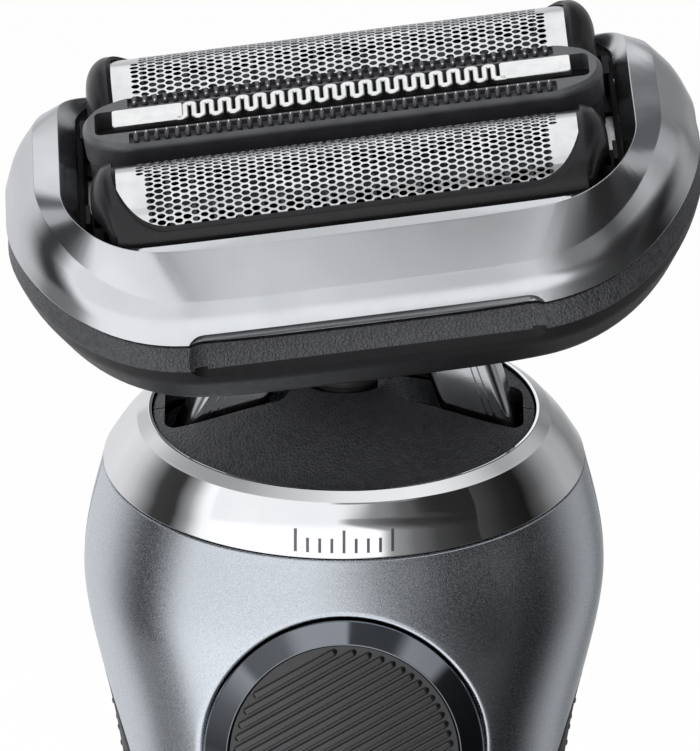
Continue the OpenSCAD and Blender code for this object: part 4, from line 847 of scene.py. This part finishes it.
BAND = np.array([hw - 0.4, hf - 0.4, hb - 0.4, 15, 19, 17.6, -8.8, -14.6, 4, 0])
KEEL = np.array([hw - 2.5, hf - 2.4, hb - 1.6, 13.5, 17.5, 16, -13, -17.6, 4, 0])
NECK_HOLE = np.array([12.6, 8.5, 8.5, 4, 4, 4, -17.6, -17.6, 1, 0])


def inset(ring, d, dz):
    r = ring.copy()
    r[:6] -= d
    r[6:8] += dz
    return r


def head_ring(r, corner=22, side=40):
    a, f, b, p, qx, qy, ze, zf, k, fall = r
    c = np.radians(90 * np.arange(corner) / corner)
    s, e = np.arange(side) / side, np.arange(6) / 6
    x = np.concatenate([0 * e + a, a - qx + qx * np.cos(c), (a - qx) * (1 - 2 * s), qx - a - qx * np.sin(c),
                        0 * e - a, p - a - p * np.cos(c), (a - p) * (2 * s - 1), a - p + p * np.sin(c)])
    y = np.concatenate([p - f + (b - qy + f - p) * e, b - qy + qy * np.sin(c), 0 * s + b, b - qy + qy * np.cos(c),
                        b - qy - (b - qy + f - p) * e, p - f - p * np.sin(c), 0 * s - f, p - f - p * np.cos(c)])
    z = zf + (ze - zf) * (np.abs(x) / a) ** k - fall * (np.maximum(0, y) / b) ** 2
    return np.stack([x, y, z], -1)


def head_piece(name, rows, *rest, **more):
    """A piece of rings round the head, closed from the last ring to the first."""
    rings = np.array([head_ring(r) for r in rows])
    return piece(name, at_head(rings), quads(*rings.shape[:2], loop=True), *rest, **more)


def scoop():
    """Round-ended cutter of the finger scoop across the parting line."""
    r, half, end = 4.2, 16.5, 2.0
    lengths = [(-half, r - end * 0.98)] + [(-half + end * (1 - math.cos(a)), r - end * (1 - math.sin(a)))
               for a in np.radians(np.linspace(15, 90, 7))]
    lengths += [(-x, q) for x, q in lengths[::-1]]
    pts = np.array([[(x, q * math.cos(t), q * math.sin(t)) for t in turns(96)] for x, q in lengths])
    return solid("scoop", at_head(pts + (0, -hf - r + 0.9, EDGE[7] - 1)), quads(len(lengths), 96, ends=True))


rows = soften([inset(EDGE, 1.4, -0.3), inset(BAND, 1.4, 0), inset(KEEL, 1.4, 1.4), inset(NECK_HOLE, 0, 1.4), NECK_HOLE,
               KEEL, BAND, RIDGE, inset(EDGE, 0.35, -0.42)], [0, 0, 0, 0, 0.5, 1.6, 0.8, 0.2, 0.25])
shell = head_piece("head_shell", rows, head_grain, "head", ["head_base"], "grained_plastic")
carve(shell, scoop())
# faces below the ridge take the near-black smooth material: painted shade under the rim
shell.data.materials.append(smooth_underside_painted_shade)
for face in shell.data.polygons:
    x, y, z = (np.array(face.center) * 1000 - roll_centre) @ head_axes.T
    ridge = RIDGE[7] + (RIDGE[6] - RIDGE[7]) * (min(1, abs(x) / RIDGE[0])) ** RIDGE[8]
    if z < ridge - 0.1:
        face.material_index = 1
EAR = [(-3, -16.5), (3, -16.5), (3, -12.8), (2.2, -11.8), (-2.2, -11.8), (-3, -12.8)]
for side, word in ((-1, "left"), (1, "right")):
    ear = [(side * x, y, z) for x in (13, 15.6) for y, z in EAR]
    o = piece(word + "_ear", at_head(ear), quads(2, 6, ends=True), moulded_black, "head", slot="grained_plastic")
    pts, faces = lying_y(1.55, 12)
    carve(o, solid("bore", at_head(pts[..., [1, 0, 2]] + (side * 14.3, 0, -13.4)), faces))

# ---- Drive inside the head -------------------------------------------------------
# Under the black deck plate a pale carriage with magnets swings over laminated cores
# wound with copper, and three steel pins pass its stroke up to the cutters.
core_steel = finish("core_steel", (0.3, 0.3, 0.31), (0.24, 0.24, 0.25), 0.4, 1.0, height=brushed, stretch=(1, 1, 0.05))
coil_copper = finish("coil_copper", (0.75, 0.35, 0.18), (0.62, 0.27, 0.13), 0.3, 1.0, height=brushed,
                     stretch=(0.05, 0.05, 1))
acetal = finish("acetal", (0.62, 0.61, 0.57), (0.68, 0.67, 0.63), 0.45, height=moulded)
magnet_nickel = finish("magnet_nickel", (0.55, 0.55, 0.54), (0.48, 0.48, 0.47), 0.25, 1.0)
spring_steel = finish("spring_steel", (0.5, 0.5, 0.5), (0.4, 0.4, 0.41), 0.28, 1.0, height=brushed)
dress(moulded_black, "head_deck")
dress(soft_black_and_painted_shade, "cassette_frame")
dress(core_steel, "motor_cores")
dress(coil_copper, "motor_coils")
dress(acetal, "drive_carriage")
dress(magnet_nickel, "drive_magnets")
dress(zinc_steel, "head_screws")
dress(spring_steel, "cassette_catches", "front_springs", "rear_springs", "trimmer_springs")

# ---- Shroud of the cassette --------------------------------------------------------
# One pressed ring of satin chromed metal: a falling outer wall, a crisp crease, a sloping
# inner band and a lip turned down into the mouth. It carries the top of the finger scoop.
satin_chrome = finish("satin_chrome", (0.645, 0.655, 0.67), (0.615, 0.625, 0.64), 0.18, 1.0, tone_scale=200, spread=0.03,
                      height=moulded, scale=9000, depth=0.0015)
rows = soften([EDGE, CROWN, CREASE, INNER, MOUTH, inset(MOUTH, 0, -1.5), UNDER, inset(EDGE, 1.1, 0)],
              [0.25, 2.2, 0.2, 0.3, 0.35, 0.1, 0, 0.1], 6)
carve(head_piece("shroud", rows, satin_chrome, "cassette", ["shroud_ring"], "satin_shroud", sharp=40), scoop())

# near-black sheet inside the mouth, from the inner edge of the metal down to the frame: painted shade of the gap there
liner = [inset(MOUTH, 0.04, -0.35), inset(MOUTH, 0.5, -0.75), inset(MOUTH, 0.55, 0), inset(MOUTH, 0.12, 0)]
for row in liner[2:]:
    row[6:8] = -5.7
    row[9] = 0
head_piece("mouth_gap_shade", soften(liner, [0.15, 0.2, 0, 0], 4), soft_black_and_painted_shade, "cassette", slot="black_plastic")

# ---- Foils, their frames and cutters ---------------------------------------------
# Each foil is a thin etched sheet with staggered six-sided holes, arched over a row of
# half-round blades and held in a black frame with domed ends.
foil_steel = finish("foil_steel", (0.8, 0.8, 0.8), (0.74, 0.74, 0.745), 0.2, 1.0, tone_scale=500, height=brushed,
                    scale=6000, depth=0.0015, stretch=(1.0, 0.06, 0.06))
frame_plastic = finish("frame_plastic", (0.009, 0.009, 0.01), (0.013, 0.013, 0.014), 0.27, tone_scale=400, height=moulded,
                       scale=6000, depth=0.003, Specular_IOR_Level=0.35)
# the cutters' steel is coloured far darker than steel: painted shade, so the holes of the foils read dark
cutter_steel_painted_shade = finish("cutter_steel_painted_shade", (0.09, 0.095, 0.105), (0.06, 0.064, 0.07), 0.4, 1.0, height=brushed,
                      stretch=(0.05, 1, 1))
dress(cutter_steel_painted_shade, "front_cutter", "rear_cutter")
FOIL_Y, FOIL_R, FOIL_Z, FOIL_HALF, FRAME_HALF = 9.0, 5.25, -3.27, 20.9, 23.2
FOIL_BOTTOM, SHEET_BOTTOM, FRAME_EDGE = -4.1, -3.6, -0.887
HOLE_COLUMN, HOLE_ROW, HOLE_A, HOLE_B, PERFORATED = 0.77, 0.59, 0.38, 0.222, 18.8
SHEET_T = 0.12
CORNER_R, CORNER_RISE = 4.7, 1.35


def foil_sheet(name, y0, node, body, seed):
    dice = random.Random(seed)
    low = math.acos((SHEET_BOTTOM - FOIL_Z) / FOIL_R)
    half_arc = FOIL_R * low
    end = FOIL_HALF - 0.05
    verts, edges, hole = [], [], []

    def ring(points):
        k = len(verts)
        hole.extend([len(edges)] * len(points))
        verts.extend(Vector(p) for p in points)
        edges.extend((k + i, k + (i + 1) % len(points)) for i in range(len(points)))

    across = np.linspace(-half_arc, half_arc, 61)
    along = np.linspace(-end, end, 15)
    ring([(x, -half_arc) for x in along] + [(end, a) for a in across[1:]] + [(x, half_arc) for x in along[-2::-1]]
         + [(-end, a) for a in across[-2:0:-1]])
    reach = FOIL_R * math.radians(74)
    columns = int(PERFORATED / HOLE_COLUMN)
    for c in range(-columns, columns + 1):
        x = c * HOLE_COLUMN
        shift = (c % 2) * HOLE_ROW / 2
        for r in range(-12, 13):
            a = r * HOLE_ROW + shift - HOLE_ROW / 4
            if abs(a) > reach - 0.5 * dice.random():
                continue
            if abs(c) == columns and a * y0 > 4:     # the outer corners stay closed
                continue
            size = 1 + 0.09 * dice.uniform(-1, 1)
            pts = []
            for corner in turns(6):
                k = size * (1 + 0.06 * dice.uniform(-1, 1))
                pts += [(x + k * HOLE_A * math.cos(corner + d), a + k * HOLE_B * math.sin(corner + d))
                        for d in (-0.22, 0.22)]
            ring(pts)
    for a in across[1:-1]:
        for x in (-20.4, -19.9, 19.9, 20.4):
            verts.append(Vector((x, a)))
        if abs(a) > reach + 0.5:
            verts.extend(Vector((x, a)) for x in np.linspace(-19.4, 19.4, 27))
    hole += [0] * (len(verts) - len(hole))
    flat, _, faces, was, *_ = delaunay_2d_cdt(verts, edges, [], 1, 1e-6)
    flat = np.array([tuple(p) for p in flat])
    inside = [hole[w[0]] if w else 0 for w in was]
    faces = [tuple(f) for f in faces if not (inside[f[0]] and inside[f[0]] == inside[f[1]] == inside[f[2]])]
    n = len(flat)
    th = flat[:, 1] / FOIL_R
    sheet = np.concatenate([np.stack([flat[:, 0], y0 + r * np.sin(th), FOIL_Z + r * np.cos(th)], -1)
                            for r in (FOIL_R, FOIL_R - SHEET_T)])
    ways = {(f[i], f[(i + 1) % len(f)]) for f in faces for i in range(len(f))}
    walls = [(b, a, a + n, b + n) for f in faces for a, b in zip(f, (*f[1:], f[0])) if (b, a) not in ways]
    faces = faces + [tuple(i + n for i in reversed(f)) for f in faces] + walls
    piece(name, at_head(sheet), faces, foil_steel, body, [node], "foil_steel", sharp=40)


def mouth_limit(x, side):
    """How far from the middle the mouth lets a piece reach across at place x."""
    d = 0.4
    a, f, p = MOUTH[0] - d, (MOUTH[1] if side < 0 else MOUTH[2]) - d, (MOUTH[3] if side < 0 else MOUTH[4]) - d
    x = np.abs(x)
    return np.where(x < a - p, f, f - p + np.sqrt(np.maximum(0, p * p - (np.minimum(x, a) - a + p) ** 2)))


def foil_frame(name, y0, node, body):
    side = -1 if y0 < 0 else 1
    outer = FOIL_R + 0.45
    low = math.acos((FOIL_BOTTOM - FOIL_Z) / outer)
    # domed caps
    start, flat = FOIL_HALF + 0.09, 2.3
    profile = [(start, outer - 0.3), (start, outer)]
    profile += [(start + (FRAME_HALF - start) * math.sin(a), flat + (outer - flat) * math.cos(a) ** 0.85)
                for a in np.radians(np.linspace(4, 90, 18))]
    profile += [(FRAME_HALF, flat * k) for k in (0.7, 0.35, 0.01)]
    sweep = np.linspace(-low, low, 65)

    def arches(rows):
        return np.array([[(end * x, y0 + r * math.sin(t), max(FOIL_BOTTOM, FOIL_Z + r * math.cos(t))) for t in sweep]
                         for x, r in rows])

    for end, word in ((-1, "left"), (1, "right")):
        pts = arches(profile)
        corner = np.clip((side * np.sin(sweep) - 0.3) / 0.7, 0, 1) ** 2
        pts[..., 0] = end * (start + (np.abs(pts[..., 0]) - start) * (1 - 0.68 * corner))
        pts = np.concatenate([arches([(FOIL_HALF - 0.25, 0.02), (FOIL_HALF - 0.25, outer - 0.4)]), pts])
        pts[..., 1] = side * np.minimum(side * pts[..., 1], mouth_limit(pts[..., 0], side))
        m, n = pts.shape[:2]
        faces = quads(m, n, loop=True, around=False) + [tuple(range(0, m * n, n)), tuple(range(m * n - 1, -1, -n))]
        piece(name + "_" + word + "_cap", at_head(pts), faces, frame_plastic, body, slot="black_plastic", sharp=30)
    # rails: a wall that hugs the sheet on its outer side and a low one on its inner side
    x = CORNER_R * (1 - np.cos(np.radians(np.linspace(0, 90, 16)))) - FOIL_HALF - 0.1
    x = np.concatenate([x, np.linspace(-FOIL_HALF + CORNER_R, FOIL_HALF - CORNER_R, 14)[1:-1], -x[::-1]])
    near = np.maximum(0, CORNER_R - (FOIL_HALF + 0.1 - np.abs(x)))
    rise = CORNER_R - np.sqrt(np.maximum(0, CORNER_R ** 2 - near ** 2))
    edge = math.acos((FRAME_EDGE - FOIL_Z) / (FOIL_R + 0.05)) - CORNER_RISE * rise / FOIL_R
    inner = np.full(len(x), math.acos((FOIL_BOTTOM + 1.8 - FOIL_Z) / (FOIL_R + 0.05)))
    rails = ([], [])
    for rail, tops in ((side, edge), (-side, inner)):
        section = []
        for xi, top in zip(x, tops):
            t = np.linspace(low, top + 0.1, 10)
            o = [(0.45, q) for q in t] + [(0.44, top + 0.088), (0.3, top + 0.075), (0.29, top + 0.06),
                                          (0.27, top + 0.01), (0.22, top), (0.1, top)] + [(0.05, q) for q in t[::-1]]
            section.append([(xi, y0 + rail * (FOIL_R + r) * math.sin(q), FOIL_Z + (FOIL_R + r) * math.cos(q))
                            for r, q in o])
        join(rails, section, quads(len(section), len(section[0]), ends=True))
    for end in (-1, 1):
        join(rails, [(end * x0, y0 + y1 * (outer - 0.02), z) for z in (FOIL_BOTTOM, FOIL_BOTTOM + 0.4)
                     for x0, y1 in ((FOIL_HALF - 1, -1), (FOIL_HALF, -1), (FOIL_HALF, 1), (FOIL_HALF - 1, 1))],
             quads(2, 4, ends=True))
    piece(name + "_rails", at_head(rails[0]), rails[1], frame_plastic, body, [node], "black_plastic", sharp=30)


for word, side, seed in (("front", -1, 4), ("rear", 1, 9)):
    foil_sheet(word + "_foil_sheet", side * FOIL_Y, word + "_foil", word + "_foil", seed)
    foil_frame(word + "_frame", side * FOIL_Y, word + "_foil_frame", word + "_foil")

# ---- Trimmer between the foils -----------------------------------------------------
# A boat-shaped black bar with a row of rounded comb pegs on both sides of its channel. A
# winding steel blade with flat end tabs slides in the channel.
bar_plastic = finish("bar_plastic", (0.06, 0.061, 0.065), (0.08, 0.081, 0.086), 0.32, tone_scale=500, height=moulded)
# the comb is steel, but its pegs are coloured dark as painted shade; the small knobs at their inner ends keep the
# blade's bright steel
comb_steel_painted_shade = finish("comb_steel_painted_shade", (0.05, 0.05, 0.053), (0.09, 0.09, 0.095), 0.22, 0.6, tone_scale=800)
blade_steel = finish("blade_steel", (0.86, 0.85, 0.84), (0.8, 0.8, 0.79), 0.2, 1.0, tone_scale=700, height=brushed,
                     scale=5000, depth=0.003)
BAR_HALF, BAR_W, BAR_TOP = 23.5, 4.2, 2.0
CHANNEL_HALF, CHANNEL_W, CHANNEL_Z = 22.3, 1.9, 0.2
COMB_N, COMB_PITCH, COMB_Y, COMB_D = 41, 0.93, 3.0, 1.5


def boat(w, l):
    """Outline with blunt pointed ends, of half width w and half length l."""
    half = np.array([(l, 1.0), (l - 0.9, 2.6), (l - 3.4, w + 0.2), (3.4 - l, w + 0.2), (0.9 - l, 2.6), (-l, 1.0)])
    corners = np.concatenate([half, half[::-1] * (1, -1)])
    corners[:, 1] = np.clip(corners[:, 1], -w, w)
    return soften(corners, 0.9, 6)


rows = soften([(2.4, BAR_HALF - 0.3, FOIL_BOTTOM), (2.4, BAR_HALF - 0.3, -1.1), (3.3, BAR_HALF - 0.1, -1.0),
               (BAR_W, BAR_HALF, BAR_TOP - 0.5), (BAR_W - 0.4, BAR_HALF - 0.5, BAR_TOP)],
              [0, 0.1, 0.3, 0.35, 0.2], 4, False)
rows = np.vstack([rows, [BAR_W - 0.5, BAR_HALF - 0.6, BAR_TOP]])
rings = np.array([[(x, y, z) for x, y in boat(w, l)] for w, l, z in rows])
bar = piece("trimmer_bar", at_head(rings), quads(*rings.shape[:2], ends=True), bar_plastic, "trimmer", ["trimmer_body"],
            "black_plastic", sharp=30)
FOOT_X = 17.0


def foot_slot():
    """Cutter of the slot through which the blade is driven."""
    return solid("foot_slot", *prism(slot_outline(3.5, 1.5, 0.4, x=FOOT_X), -10, 10, at_head))


carve(bar, solid("channel", *prism(slot_outline(CHANNEL_HALF, CHANNEL_W, 0.6), CHANNEL_Z, 10, at_head)), foot_slot(),
      *[solid("comb_slot", *prism(slot_outline(COMB_N * COMB_PITCH / 2 + 0.2, COMB_D / 2 + 0.1, 0.2, y=s * COMB_Y),
                                  BAR_TOP - 0.5, 5, at_head)) for s in (-1, 1)])


def block(store, x, y, hx, hy, z0, z1, r):
    """Adds a block with a domed top, centred on x, y."""
    outline = slot_outline(hx, hy, min(hx, hy) * 0.7, 3)
    join(store, [(x + px * s, y + py * (1 - (1 - s) * hx / hy), z)
                 for z, s in ((z0, 1.0), (z1 - r, 1.0), (z1 - 0.35 * r, 0.88), (z1, 0.55)) for px, py in outline],
         quads(4, len(outline), ends=True))


pegs, ridges = ([], []), ([], [])
for s in (-1, 1):
    for x in (np.arange(COMB_N) - (COMB_N - 1) / 2) * COMB_PITCH:
        block(pegs, x, s * COMB_Y, 0.24, COMB_D / 2 - 0.08, BAR_TOP - 0.48, BAR_TOP + 0.26, 0.22)
        block(ridges, x, s * (COMB_Y - COMB_D / 2 + 0.3), 0.13, 0.13, BAR_TOP, BAR_TOP + 0.36, 0.16)
# a thin near-black sheet on the floor of the channel: painted shade inside the channel
points, faces = prism(slot_outline(CHANNEL_HALF - 0.02, CHANNEL_W - 0.02, 0.6), CHANNEL_Z + 0.01,
                      CHANNEL_Z + 0.12, at_head)
carve(piece("channel_shade_sheet", points, faces, soft_black_and_painted_shade, "trimmer", slot="black_plastic"), foot_slot())
# steel pegs in the dark colour: painted shade
piece("comb_pegs", at_head(pegs[0]), pegs[1], comb_steel_painted_shade, "trimmer", ["trimmer_comb"], "blade_steel", sharp=60)
piece("comb_ridges", at_head(ridges[0]), ridges[1], blade_steel, "trimmer", slot="blade_steel", sharp=60)

TAB_IN, TAB_OUT, BLADE_W, BLADE_Z, BLADE_T = 14.3, 20.7, 2.7, BAR_TOP - 0.1, 0.5
WAVES, STRIP = 18, 0.5
blade = ([], [])
for s in (-1, 1):
    cx = s * (TAB_IN + TAB_OUT) / 2
    rows = soften([(0, BLADE_Z), (0, BLADE_Z + BLADE_T), (-0.15, BLADE_Z + BLADE_T)], [0, 0.12, 0], 3, False)
    outline = slot_outline((TAB_OUT - TAB_IN) / 2, BLADE_W / 2, 0.25, 5)
    join(blade, [(cx + x * (1 + d / 3.2), y * (1 + d / 1.35), z) for d, z in rows for x, y in outline],
         quads(len(rows), len(outline), ends=True))
pitch = 2 * TAB_IN / WAVES
y1 = (BLADE_W - STRIP) / 2
line = [(-TAB_IN - 0.5, -y1)]
for x in -TAB_IN + STRIP / 2 + pitch * np.arange(WAVES):
    line += [(x, -y1), (x, y1), (x + pitch / 2, y1), (x + pitch / 2, -y1)]
line = soften(line + [(TAB_IN + 0.5, -y1)], 0.36, 5, False)
tangent = np.gradient(line, axis=0)
tangent /= np.linalg.norm(tangent, axis=1)[:, None]
normal = np.stack([-tangent[:, 1], tangent[:, 0]], -1)
section = soften([(-STRIP / 2, BLADE_Z), (-STRIP / 2, BLADE_Z + BLADE_T), (STRIP / 2, BLADE_Z + BLADE_T),
                  (STRIP / 2, BLADE_Z)], [0, 0.1, 0.1, 0], 3)
broad = 1 + 0.28 * np.clip((np.abs(line[:, 1]) / y1 - 0.55) / 0.45, 0, 1)
join(blade, [(*(p + k * w * q), z) for p, q, k in zip(line, normal, broad) for w, z in section],
     quads(len(line), len(section), ends=True))
join(blade, *prism(slot_outline(2, 1.2, 0.3, 5, x=FOOT_X), -4.2, BLADE_Z + 0.1))
piece("trimmer_strip", at_head(blade[0]), blade[1], blade_steel, "trimmer_blade", ["trimmer_blade"], "blade_steel",
      sharp=40)

low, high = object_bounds()
